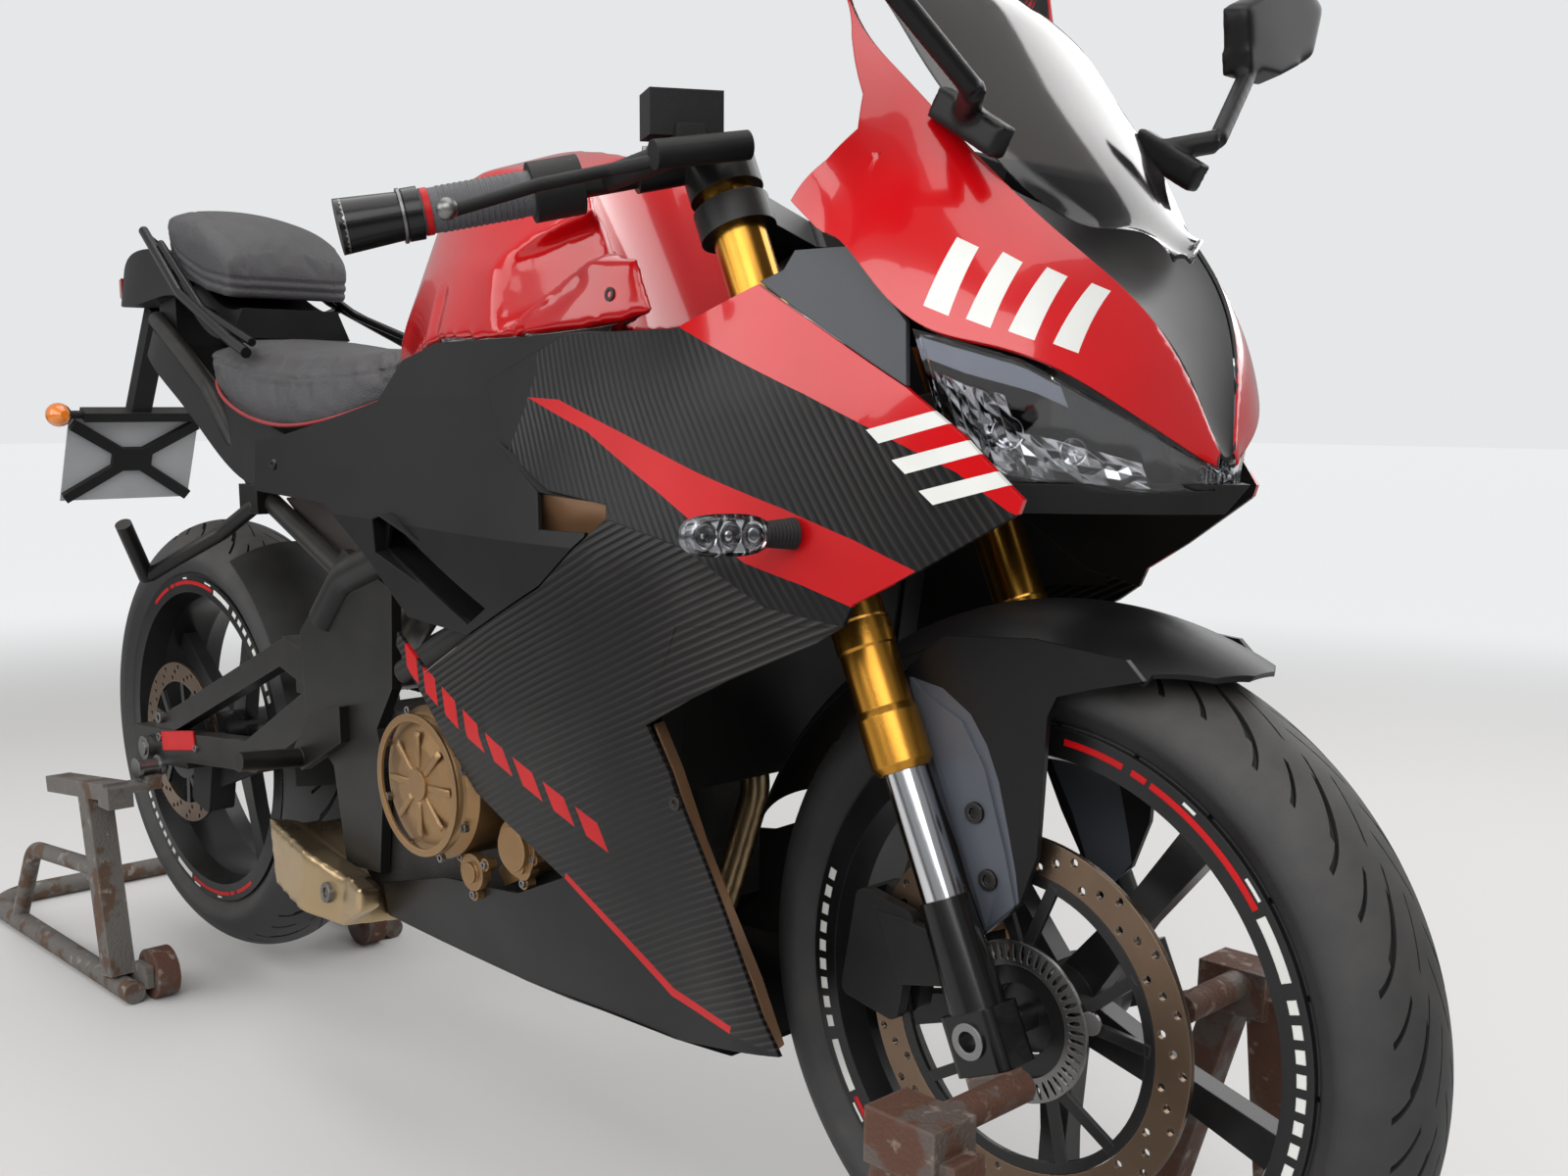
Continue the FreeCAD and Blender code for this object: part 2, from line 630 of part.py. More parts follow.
def spar(side):
    rail = tube([V(375, side * 8, 835), V(150, side * 142, 712), V(-150, side * 134, 610),
                 V(-200, side * 134, 560)],
                20, 60)
    lower = tube([V(352, side * 8, 800), V(210, side * 136, 640), V(-40, side * 134, 520)], 14, 50)
    return rail.fuse(lower)


def pivot_plate(side):
    low, high = sorted((side * PLATE_Y, side * (PLATE_Y + 12)))
    return side_prism(PLATE_CORNERS, low, high)


def rear_rail(side, radius=12):
    return tube([V(-160, side * 126, 606), V(-390, side * 108, 690), V(-560, side * 84, 812),
                 V(-800, side * 40, 905)],
                radius, 60)


cross_low = bar(V(-120, -PLATE_Y, 310), V(-120, PLATE_Y, 310), 14)
cross_high = bar(V(-180, -PLATE_Y, 600), V(-180, PLATE_Y, 600), 14)

# Arm ahead of the headstock for the instruments and the nose, with a cross bar between the side panels
STAY_FOOT = AT_FORK.multVec(V(STEM_X + 22, 0, 575))
stay_arm = box_bar(STAY_FOOT, V(610, 0, 850), 44, 26)
stay_bar = Part.makeBox(14, 130, 34, V(604, -170, 834))
stay_bar = joined(Part.makeBox(14, 90, 40.3, V(604, -45, 834)), stay_bar, mirrored(stay_bar))

# Lug and bolt of the side stand, square to its slanted axis
STAND_SPLAY = math.radians(15)
STAND_AXIS = V(0, math.cos(STAND_SPLAY), math.sin(STAND_SPLAY))
STAND_PIVOT = V(-146, 154, 258)
STAND_EYE = 9.5
lug = Part.makeBox(46, 12, 52, V(-23, -STAND_EYE - GAP - 12, -20))
stand_bolt = joined(disc(6, -STAND_EYE - GAP - 12, STAND_EYE + GAP + 4),
                    disc(11, STAND_EYE + GAP, STAND_EYE + GAP + 5))
AT_STAND = FreeCAD.Placement(STAND_PIVOT, FreeCAD.Rotation(V(1, 0, 0), 15))
stand_mount = joined(lug, stand_bolt)
stand_mount.Placement = AT_STAND
frame = joined(headstock, spar(-1), spar(1), pivot_plate(-1), pivot_plate(1), rear_rail(-1),
               rear_rail(1),
               cross_low, cross_high, stay_arm, stay_bar, stand_mount).cut(stem_bore)
feature("frame", frame)

# Engine: plain crankcase with the cylinders leaning forward over it
ENGINE_LOW = V(-160, -size("engine_width") / 2 + 15, 262)
crankcase = Part.makeBox(size("engine_length"), size("engine_width") - 30, size("engine_height"),
                         ENGINE_LOW)
crankcase = crankcase.makeChamfer(28, [edge for edge in crankcase.Edges
                                       if abs(edge.Vertexes[0].Y - edge.Vertexes[1].Y) > 1])
cylinders = Part.makeBox(180, 210, 205, V(30, -105, 455))
cylinders.rotate(V(120, 0, 455), V(0, 1, 0), 15)
ENGINE_HALF = size("engine_width") / 2 - 15
FRONT_SPROCKET = V(-110, 0, 404)
SMALL_R = 34
chain_pocket = Part.makeBox(110, ENGINE_HALF, 122, V(-165, CHAIN_Y - 12, 343))
drive_sprocket = joined(disc(SMALL_R, CHAIN_Y - 4, CHAIN_Y + 4, FRONT_SPROCKET),
                        disc(12, CHAIN_Y - 13, CHAIN_Y, FRONT_SPROCKET))
engine = joined(crankcase, cylinders)
engine = engine.cut([bar(V(-120, -200, 310), V(-120, 200, 310), 14),
                     bar(PIVOT - V(0, 200, 0), PIVOT + V(0, 200, 0), 40),
                     chain_pocket, stand_mount])
feature("engine_block", joined(engine, drive_sprocket))

# Round clutch cover with a stepped, bevelled face
CLUTCH = V(77, 0, 431)
COVER_R = size("clutch_cover_radius")
cover_profile = [(0, -ENGINE_HALF), (COVER_R, -ENGINE_HALF), (COVER_R, -178), (COVER_R - 7, -188),
                 (COVER_R - 12, -188),
                 (COVER_R - 16, -191), (COVER_R - 38, -196), (0, -198)]
cover_face = Part.Face(outline([V(CLUTCH.x + r, y, CLUTCH.z) for r, y in cover_profile]))
feature("clutch_cover", cover_face.revolve(CLUTCH, V(0, 1, 0), 360))

# Pump cover and housing on the right, generator and sprocket covers on the left
PUMP = V(198, 0, 388)
pump = joined(disc(28, -170, -ENGINE_HALF, PUMP), disc(21, -176, -ENGINE_HALF, PUMP))
pump = joined(pump, side_prism([(172, 392), (140, 350), (150, 336), (214, 366)], -150, -ENGINE_HALF))
GENERATOR = V(92, 0, 428)
generator = joined(disc(70, ENGINE_HALF, 158, GENERATOR), disc(58, ENGINE_HALF, 172, GENERATOR))
sprocket_corners = [(-158, 470), (-60, 480), (-2, 462), (16, 428), (2, 386), (-110, 335), (-158, 360)]
sprocket_cover = side_prism(sprocket_corners, ENGINE_HALF, PLATE_Y + 11)
rider_room = Part.makeBox(40, 40, 200, V(-200, PLATE_Y, 330))
left_cover = joined(generator, sprocket_cover).cut([pivot_plate(1), rider_room])
feature("engine_covers", Part.makeCompound([pump, left_cover]))

# Radiator behind the front wheel: finned core between two tanks, hung from the spars
RAD_FOOT = V(350, 0, 470)
rad = Part.makeBox(size("radiator_thick"), size("radiator_width"), size("radiator_height"),
                   V(0, -size("radiator_width") / 2, 0))
tanks = []
for side in (-1, 1):
    y = side * size("radiator_width") / 2
    tanks.append(Part.makeBox(36, 26, size("radiator_height") + 10, V(-4, y - 13, -5)))
radiator = joined(rad, *tanks)
radiator.rotate(V(0, 0, 0), V(0, 1, 0), 8)
radiator.translate(RAD_FOOT)
rad_hanger = bar(V(386, -60, 712), V(292, -57, 785), 7)
feature("radiator", joined(radiator, rad_hanger, mirrored(rad_hanger)).cut(frame))

# Outer surface of the side panels: half widths at six heights, in rows along X
SKIN_HEIGHTS = (230, 320, 500, 680, 800, 900)
SKIN_ROWS = [
    (-330, (115, 140, 150, 150, 145, 130)),
    (-150, (122, 145, 165, 162, 142, 120)),
    (100, (132, 160, 200, 197, 172, 140)),
    (300, (135, 166, 215, 222, 198, 165)),
    (450, (144, 169, 210, 218, 202, 178)),
    (560, (140, 165, 195, 205, 196, 178)),
    (630, (124, 144, 180, 188, 184, 172)),
    (680, (116, 132, 165, 172, 174, 168)),
    (760, (100, 110, 130, 143, 146, 144)),
]
SKIN_INNER = 40
PANEL = size("panel_thick")


def skin_solid(inset):
    """Solid from an inner plane out to the panels' outer surface, less an inset."""
    wires = []
    for x, halves in SKIN_ROWS:
        profile = [(-SKIN_INNER, SKIN_HEIGHTS[0])]
        profile += [(inset - half, z) for half, z in zip(halves, SKIN_HEIGHTS)]
        profile.append((-SKIN_INNER, SKIN_HEIGHTS[-1]))
        wires.append(section(x, profile))
    return loft(wires)


SKIN = skin_solid(0).cut(skin_solid(PANEL))
SKIN_CLEAR = skin_solid(-0.5).cut(skin_solid(PANEL + 0.5))


def panel(corners):
    """Piece of the right side's skin inside an outline of (x, z) corners."""
    return SKIN.common(side_prism(corners, -300, -60))


def pair(name, shape):
    """A right piece and its mirror image on the left, as one node."""
    feature(name, both(shape))


# Seams shared by neighbouring panels, as (x, z) corners in the side view
SEAM_UPPER = [(620, 641), (557, 650), (483, 688), (394, 705)]
SEAM_REAR = [(394, 705), (309, 644), (187, 589), (100, 545), (35, 575)]
side_fairing_corners = [(186, 812), (300, 850), (446, 850), (528, 878), (584, 849), (663, 805),
                        (704, 774), (743, 733),
                        (740, 724), (673, 682), (628, 657)] + SEAM_UPPER + [(392, 716), (315, 724),
                                                                            (233, 758)]
lower_fairing_corners = SEAM_UPPER + SEAM_REAR[1:] + [(32, 562), (118, 502), (168, 440), (241, 405),
                                                      (286, 382), (200, 345), (60, 326), (-98, 281),
                                                      (-104, 240),
                                                      (162, 240), (403, 255), (534, 285), (497, 402),
                                                      (459, 511),
                                                      (436, 546), (472, 628)]
side_cover_corners = [(-322, 751), (-250, 760), (-50, 796), (-10, 835), (60, 850), (300, 850),
                      (186, 812), (233, 758),
                      (300, 722), (309, 692), (370, 693), (370, 690), (309, 646), (187, 591), (60, 593),
                      (-40, 640),
                      (-150, 690), (-322, 696)]
slot = side_prism([(20, 682), (10, 655), (188, 600), (222, 618)], -300, -60)
pair("side_fairings", panel(side_fairing_corners))
pair("lower_fairings", panel(lower_fairing_corners))
pair("side_covers", panel(side_cover_corners).cut(slot))

# Nose: right half as thin sections (x, inner edge, middle, outer edge), each as (y, z)
NOSE_ROWS = [
    (528, (-122, 1104), (-134, 1090), (-144, 1070)),
    (556, (-126, 1080), (-164, 1010), (-190, 935)),
    (600, (-124, 1024), (-164, 965), (-189, 908)),
    (640, (-116, 984), (-157, 925), (-184, 872)),
    (680, (-104, 943), (-145, 897), (-172, 842)),
    (715, (-90, 909), (-127, 874), (-153, 832)),
    (745, (-72, 880), (-104, 852), (-126, 818)),
    (770, (-51, 848), (-78, 824), (-94, 796)),
    (790, (-28, 800), (-44, 784), (-50, 770)),
    (800, (-11, 764), (-15, 760), (-16, 754)),
]


def thin_section(x, first, middle, last, thick):
    """Closed thin arc through three (y, z) points, thickened inwards."""
    inward = V(0, thick, -thick * 0.5)
    p = [V(x, y, z) for y, z in (first, middle, last)]
    q = [point + inward for point in p]
    return Part.Wire([Part.Arc(p[0], p[1], p[2]).toShape(), Part.LineSegment(p[2], q[2]).toShape(),
                      Part.Arc(q[2], q[1], q[0]).toShape(), Part.LineSegment(q[0], p[0]).toShape()])


nose = loft([thin_section(x, a, b, c, PANEL) for x, a, b, c in NOSE_ROWS])
nose_corners = [(520, 1130), (534, 1102), (558, 1073), (571, 1045), (593, 1003), (598, 979), (588, 958),
                (565, 932),
                (588, 913), (614, 899),
                (660, 850), (700, 825), (780, 760), (830, 740), (830, 1100)]
nose_cowl = nose.common(side_prism(nose_corners, -260, -2))

# Headlamps: solid lenses between the nose's outer edge and the chin
LAMP_ROWS = [
    (668, (-178, 843), (-140, 770)),
    (695, (-163, 835), (-116, 745)),
    (728, (-140, 823), (-84, 738)),
    (767, (-89, 790), (-49, 734)),
    (790, (-43, 764), (-28, 736)),
    (802, (-16, 750), (-17, 737)),
]
lamp = loft([section(x, [a, b, (min(b[0] + 34, -6), b[1]), (min(a[0] + 34, -6), a[1] - 2)]) for x, a,
             b in LAMP_ROWS], True)
pair("headlamps", lamp)

# Panels between the nose and the side fairing
slate_corners = [(551, 887), (567, 913), (588, 911), (612, 897), (659, 848), (663, 806), (584, 850),
                 (530, 880)]
pair("nose_sides", panel(slate_corners))

# Black centre of the nose: a shallow trough between the two red cowls
CENTRE_ROWS = [
    (682, 100, 938, 926),
    (715, 86, 906, 896),
    (745, 68, 877, 868),
    (770, 47, 845, 838),
    (790, 24, 797, 792),
    (800, 9, 762, 759),
]


def trough(x, half, edge, crown, thick):
    """Closed shallow channel at one X: an arc, and the same arc lower down."""
    upper = Part.Arc(V(x, -half, edge), V(x, 0, crown), V(x, half, edge)).toShape()
    lower = Part.Arc(V(x, half, edge - thick), V(x, 0, crown - thick),
                     V(x, -half, edge - thick)).toShape()
    ends = [Part.LineSegment(V(x, half, edge), V(x, half, edge - thick)).toShape(),
            Part.LineSegment(V(x, -half, edge - thick), V(x, -half, edge)).toShape()]
    return Part.Wire([upper, ends[0], lower, ends[1]])


feature("nose_centre", loft([trough(x, half - 1.6, edge, crown, PANEL) for x, half, edge,
                             crown in CENTRE_ROWS]))

# Chin under the lamps
chin_plan = [(660, -138), (693, -119), (728, -87), (767, -52), (800, -22), (819, 0)]
chin_low = [(660, -118), (692, -100), (730, -74), (768, -41), (790, -16), (801, 0)]


def symmetric(corners, z):
    """Closed outline at one height from the right half's (x, y) corners, its last one on the middle plane."""
    return outline([V(x, y, z) for x, y in corners + [(x, -y) for x, y in corners[-2::-1]]])


chin = loft([symmetric(chin_plan, 741), symmetric(chin_low, 720)], True)
feature("nose_chin", chin.cut([lamp, mirrored(lamp)]))

# Windscreen: a thin bubble from its low tip to its top edge
SCREEN_ROWS = [
    (757, 12, 890, 896),
    (728, 64, 911, 928),
    (700, 92, 930, 962),
    (657, 115, 981, 1012),
    (619, 119, 1027, 1058),
    (587, 119, 1068, 1092),
    (540, 106, 1102, 1122),
    (505, 78, 1128, 1138),
]
screen = loft([arch(x, half, edge, crown, size("screen_thick")) for x, half, edge,
               crown in SCREEN_ROWS])
feature("windscreen", screen)
nose_cowl = sorted(nose_cowl.cut(screen).Solids, key=lambda solid: solid.Volume)[-1]
cowl_post = bar(V(611, -153, 868), V(611, -153, 962), 4)
pair("nose_cowls", joined(nose_cowl, cowl_post))

# Instruments ahead of the steering head
dash = Part.makeBox(40, 150, 92, V(0, -75, 0))
dash.rotate(V(0, 0, 0), V(0, 1, 0), 22)
dash.translate(V(592, 0, 885))
feature("dash", dash)

# Tank: sections as half profiles of (y, z) corners from the ridge to the base
TANK_ROWS = [
    (-111.7, ((0, 892), (55, 880), (84, 842), (84, 806))),
    (-70, ((0, 978), (62, 962), (98, 880), (104, 812))),
    (20, ((0, 1032), (78, 1010), (118, 920), (140, 846))),
    (130, ((0, 1030), (92, 1004), (148, 915), (163, 850))),
    (250, ((0, 996), (98, 976), (164, 908), (170, 852))),
    (340, ((0, 958), (98, 944), (160, 908), (165, 858))),
    (400, ((0, 934), (104, 924), (150, 902), (152, 870))),
]


def closed_half(x, profile):
    right = [(-y, z) for y, z in profile]
    left = [(y, z) for y, z in profile[:0:-1]]
    return section(x, right + left)


tank = loft([closed_half(x, profile) for x, profile in TANK_ROWS])
STEER_SWEEP = 156
HAND_ROOM = 31


def control_room():
    """Room that the right bar and its switches sweep over the tank at full lock."""
    near, far = along_bar(0.12), along_bar(0.62)
    reach = [(math.hypot(p.x - STEM_X, p.y), p.z) for p in (near, far)]
    corners = [(reach[0][0], reach[0][1] - HAND_ROOM), (reach[1][0], reach[1][1] - HAND_ROOM),
               (reach[1][0], reach[1][1] + HAND_ROOM), (reach[0][0], reach[0][1] + HAND_ROOM)]
    face = Part.Face(outline([V(STEM_X + r, 0, z) for r, z in corners]))
    start = math.degrees(math.atan2(far.y, far.x - STEM_X)) + 4
    face.rotate(V(STEM_X, 0, 0), V(0, 0, 1), start)
    room = face.revolve(V(STEM_X, 0, 0), V(0, 0, 1), -size("steering_lock") - 18)
    room.Placement = AT_FORK
    return room


sweep = bar(AT_FORK.multVec(V(STEM_X, 0, 430)), AT_FORK.multVec(V(STEM_X, 0, 900)), STEER_SWEEP)
hand_room = control_room()
tank = tank.cut([sweep, SKIN_CLEAR, mirrored(SKIN_CLEAR), hand_room, mirrored(hand_room)])
tank_foot = bar(V(250, -84, 870), V(250, -82, 775), 8)
tank = joined(tank, tank_foot, mirrored(tank_foot)).cut(frame)
feature("fuel_tank", tank)

# Seats: crowned pads
RIDER_ROWS = [
    (-112, 92, 802, 838, 848),
    (-180, 122, 776, 828, 844),
    (-270, 140, 762, 826, 846),
    (-360, 142, 772, 834, 852),
    (-440, 136, 798, 848, 860),
    (-500, 118, 830, 858, 866),
]
PILLION_ROWS = [
    (-492, 88, 914, 958, 975),
    (-550, 96, 926, 1000, 1018),
    (-640, 86, 956, 1024, 1040),
    (-715, 62, 994, 1034, 1045),
    (-760, 28, 1028, 1038, 1044),
]


def cushion(x, half, base, side, crown):
    """Cushion section: flat base, upright walls and an arc over the top."""
    top = Part.Arc(V(x, -half, side), V(x, 0, crown), V(x, half, side)).toShape()
    return Part.Wire([top,
                      Part.LineSegment(V(x, half, side), V(x, half * 0.94, base)).toShape(),
                      Part.LineSegment(V(x, half * 0.94, base), V(x, -half * 0.94, base)).toShape(),
                      Part.LineSegment(V(x, -half * 0.94, base), V(x, -half, side)).toShape()])


def grown(rows, margin):
    """Cushion rows with a margin all round, for the room that other pieces leave."""
    first, last = rows[0], rows[-1]
    wide = [(x, half + margin, base - margin, side + margin, crown + margin) for x, half, base, side,
            crown in rows]
    wide[0] = (first[0] + margin,) + wide[0][1:]
    wide[-1] = (last[0] - margin,) + wide[-1][1:]
    return loft([cushion(*row) for row in wide])


feature("rider_seat", loft([cushion(*row) for row in RIDER_ROWS]))
feature("pillion_seat", loft([cushion(*row) for row in PILLION_ROWS]))

# Tail cowl under the pillion seat, its side bars and lamp
STRIP_ROWS = [
    (-330, 124, 694, 755),
    (-430, 121, 712, 781),
    (-570, 100, 768, 817),
    (-700, 78, 817, 857),
    (-812, 52, 858, 892),
]
PAN_ROWS = [
    (-498, 82, 872, 908),
    (-600, 78, 900, 938),
    (-700, 60, 932, 982),
    (-796, 52, 930, 999),
    (-903, 42, 926, 990),
    (-936, 32, 930, 970),
]


def tray(rows):
    """Trapezoid sections (x, half, low, high), narrower at the top."""
    return loft([section(x, [(-half, low), (-half * 0.8, high), (half * 0.8, high), (half, low)])
                 for x, half, low, high in rows])


tail_link = loft([section(x, [(-half, low), (-half, high), (half, high), (half, low)])
                  for x, half, low, high in ((-740, 40, 840, 950), (-800, 36, 870, 950))], True)
tail = joined(tray(STRIP_ROWS), tray(PAN_ROWS), tail_link)
tail = tail.cut([rear_rail(-1, 12.2), rear_rail(1, 12.2), grown(RIDER_ROWS, 0.5),
                 grown(PILLION_ROWS, 0.5)])
feature("tail_cowl", tail)
fin = tube([V(-744, -76, 1016), V(-584, -104, 926), V(-421, -122, 866), V(-368, -129, 850)], 6.5, 60)
inner_fin = tube([V(-690, -78, 996), V(-520, -106, 905), V(-372, -119, 862)], 5, 60)
for x, z in ((-735, 1010), (-640, 958), (-560, 916)):
    fin = fin.fuse(bar(V(x, -78 - (x + 735) * 0.16, z), V(x, -44, z - 26), 5))
tail_fin = joined(fin, inner_fin).cut([grown(PILLION_ROWS, 0.5), grown(RIDER_ROWS, 0.5), tail])
feature("tail_fins", both(tail_fin))
lamp_block = loft([section(x, [(-half, low), (-half, high), (half, high), (half, low)])
                   for x, half, low, high in ((-936, 30, 938, 968), (-952, 26, 942, 966))], True)
feature("tail_lamp", lamp_block)


def signal_pod(half_length, radius, way, centre):
    """Lens of a turn signal: a rounded spindle along a direction."""
    blunt = radius * 0.35
    face = Part.Face(Part.Wire([
        Part.LineSegment(V(0, 0, -half_length), V(blunt, 0, -half_length)).toShape(),
        Part.Arc(V(blunt, 0, -half_length), V(radius, 0, 0), V(blunt, 0, half_length)).toShape(),
        Part.LineSegment(V(blunt, 0, half_length), V(0, 0, half_length)).toShape(),
        Part.LineSegment(V(0, 0, half_length), V(0, 0, -half_length)).toShape()]))
    pod = face.revolve(V(0, 0, 0), V(0, 0, 1), 360)
    pod.Placement = FreeCAD.Placement(centre, FreeCAD.Rotation(V(0, 0, 1), way))
    return pod


# Number plate leaning back on its cross bracket, with a lamp arm up to the tail
PLATE_TOP = V(-985, 0, 774)
PLATE_LEAN = 25
at_plate = FreeCAD.Placement(PLATE_TOP, FreeCAD.Rotation(V(0, 1, 0), PLATE_LEAN))
plate = Part.makeBox(size("plate_thick"), size("plate_width"), size("plate_height"),
                     V(-size("plate_thick"), -size("plate_width") / 2, -size("plate_height")))
feature("number_plate", plate, at_plate)
HALF_PLATE = size("plate_width") / 2
cross = Part.makeBox(8, 60, 36, V(0, -30, -size("plate_height") / 2 - 18))
arms = []
for y_side in (-1, 1):
    for z_end in (-12, 6 - size("plate_height")):
        start = V(4, 0, -size("plate_height") / 2)
        end = V(4, y_side * (HALF_PLATE - 4), z_end)
        run = end - start
        across = V(1, 0, 0).cross(run).normalize() * 8
        corners = [start - across, start + across, end + across, end - across]
        arms.append(Part.Face(outline([c - V(4, 0, 0) for c in corners])).extrude(V(8, 0, 0)))
holder = joined(cross, *arms)
top_bar = Part.makeBox(22, 170, 14, V(0, -85, 0))
holder = joined(holder, top_bar)
holder.Placement = at_plate
post = box_bar(V(-976, 0, 780), V(-884, 0, 926), 30, 22)
feature("plate_bracket", joined(holder, post).cut(tail))
SIGNAL_FOOT = at_plate.multVec(V(11, -85, 7))
signal_stalk = bar(SIGNAL_FOOT, SIGNAL_FOOT - V(0, 22, 0), 6)
signal_body = signal_pod(24, 17, V(1, 0, 0), SIGNAL_FOOT - V(0, 34, 0))
rear_signal = joined(signal_stalk, signal_body)

# Front signals on rubber stalks at the side fairings, sharing a node with the rear ones
SIGNAL_ROOT = V(578, -197, 704)
stalk = bar(SIGNAL_ROOT, SIGNAL_ROOT + V(-6, -30, 0), 14).cut(skin_solid(0))
lens = signal_pod(40, 15, V(-0.24, -0.97, 0), SIGNAL_ROOT + V(-14, -54, 1))
front_signal = joined(stalk, lens)
feature("turn_signals", Part.makeCompound([front_signal, mirrored(front_signal), rear_signal,
                                           mirrored(rear_signal)]))

# Mirrors on angular stalks beside the windscreen
NOSE_ROOM = loft([thin_section(x, a, b, c, 60) for x, a, b, c in NOSE_ROWS])
mirror_foot = box_bar(V(638, -121, 996), V(694, -121, 962), 16, 22).cut([NOSE_ROOM, screen])
stalk_low = bar(V(662, -121, 986), V(690, -150, 993), 9)
stalk_high = bar(V(690, -150, 993), V(668, -236, 1066), 7.5)
mirror_head = loft([
    section(680, [(-212, 1056), (-202, 1100), (-290, 1138), (-328, 1120), (-316, 1080), (-262, 1058)]),
    section(656, [(-208, 1052), (-198, 1104), (-294, 1144), (-334, 1122), (-320, 1074), (-262, 1052)]),
], True)
pair("mirrors", joined(stalk_low, stalk_high, mirror_foot, mirror_head))

# Swingarm with upper braces, and the rear axle with lifting spools
ARM_Y = 122
PIVOT_BOLT = 12


def swing_beam(side):
    y = side * ARM_Y
    width = size("swingarm_width")
    height = size("swingarm_height")
    beam = box_bar(V(-394, y, 371), V(REAR_X + 26, y, HUB_Z + 7), width, height)
    rise = box_bar(V(-402, y, 369), V(PIVOT.x, y, PIVOT.z - 8), width, height + 4)
    end = box_bar(V(REAR_X + 110, y, HUB_Z + 12), V(REAR_X - 50, y, HUB_Z), width, height + 10)
    eye = disc(34, y - 13, y + 13, PIVOT)
    brace = box_bar(V(REAR_X + 20, y, HUB_Z + 26), V(-300, y, 514), width - 4, height - 10)
    front = box_bar(V(-312, y, 510), V(PIVOT.x, y, PIVOT.z + 6), width - 4, height)
    return joined(beam, rise, end, eye, brace, front)


swingarm = joined(swing_beam(-1), swing_beam(1), Part.makeBox(46, 2 * ARM_Y, 42, V(-300, -ARM_Y, 462)))
swingarm = swingarm.cut([bar(PIVOT - V(0, 300, 0), PIVOT + V(0, 300, 0), PIVOT_BOLT),
                         disc(AXLE, -300, 300, REAR_HUB)])
swingarm = swingarm.cut([side_prism(PLATE_CORNERS, y, y + 12) for y in (PLATE_Y, -PLATE_Y - 12)])
feature("swingarm", swingarm)
pivot_bolt = bar(PIVOT - V(0, PLATE_Y, 0), PIVOT + V(0, PLATE_Y, 0), PIVOT_BOLT)
SPOOL = V(REAR_X + 32, 0, HUB_Z - 19)
SPOOL_FACE = ARM_Y + 13
spool = joined(disc(size("spool_radius") - 4, -SPOOL_FACE - 34, -SPOOL_FACE, SPOOL),
               disc(size("spool_radius"), -SPOOL_FACE - 36, -SPOOL_FACE - 30, SPOOL),
               disc(size("spool_radius"), -SPOOL_FACE - 6, -SPOOL_FACE, SPOOL))
rear_axle = joined(disc(AXLE, -SPOOL_FACE - 12, SPOOL_FACE + 12, REAR_HUB),
                   disc(16, -SPOOL_FACE - 10, -SPOOL_FACE, REAR_HUB),
                   disc(16, SPOOL_FACE, SPOOL_FACE + 10, REAR_HUB))
feature("rear_axle", Part.makeCompound([rear_axle, spool, mirrored(spool), pivot_bolt]))

# Shock absorber between the swingarm and the frame
shock_low = V(-292, 0, 494)
shock_high = V(-182, 0, 597)
shock_run = shock_high - shock_low
spring = bar(shock_low + shock_run * 0.2, shock_low + shock_run * 0.85, 28)
feature("shock", joined(bar(shock_low, shock_high, 12), spring).cut([swingarm, cross_high]))

# Rear hugger close over the tyre
hugger = fender_band(size("rear_tyre_width") / 2 + 10, size("rear_tyre_radius") + 24, 4)
hugger.rotate(V(0, 0, 0), V(0, 1, 0), -42)
hugger = hugger.revolve(V(0, 0, 0), V(0, 1, 0), -62)
hugger.rotate(V(0, 0, 0), V(0, 1, 0), 44)
hugger.translate(REAR_HUB)
HUGGER_FOOT = Part.makeBox(24, ARM_Y - 13 - 77, 18, V(-418, 77, 364))
feature("rear_hugger", joined(hugger, HUGGER_FOOT, mirrored(HUGGER_FOOT)))

# Drive chain round the rear sprocket and the engine's sprocket


def chain_path(extra):
    """Outer edge of the chain in the side view: two arcs and two straight runs."""
    big = SPROCKET + extra
    small = SMALL_R + extra
    run = FRONT_SPROCKET - REAR_HUB
    lean = math.atan2(run.z, run.x)
    open_angle = math.acos((big - small) / math.hypot(run.x, run.z))

    def at(centre, radius, angle):
        return V(centre.x + radius * math.cos(angle), 0, centre.z + radius * math.sin(angle))

    top_big = at(REAR_HUB, big, lean + open_angle)
    back_big = at(REAR_HUB, big, lean + math.pi)
    low_big = at(REAR_HUB, big, lean - open_angle)
    low_small = at(FRONT_SPROCKET, small, lean - open_angle)
    tip_small = at(FRONT_SPROCKET, small, lean)
    top_small = at(FRONT_SPROCKET, small, lean + open_angle)
    return Part.Face(Part.Wire([
        Part.Arc(top_big, back_big, low_big).toShape(), Part.LineSegment(low_big, low_small).toShape(),
        Part.Arc(low_small, tip_small, top_small).toShape(), Part.LineSegment(top_small,
                                                                              top_big).toShape()]))


chain = chain_path(11).cut(chain_path(GAP + 0.7)).extrude(V(0, 14, 0))
chain.translate(V(0, CHAIN_Y - 7, 0))
feature("chain", chain)

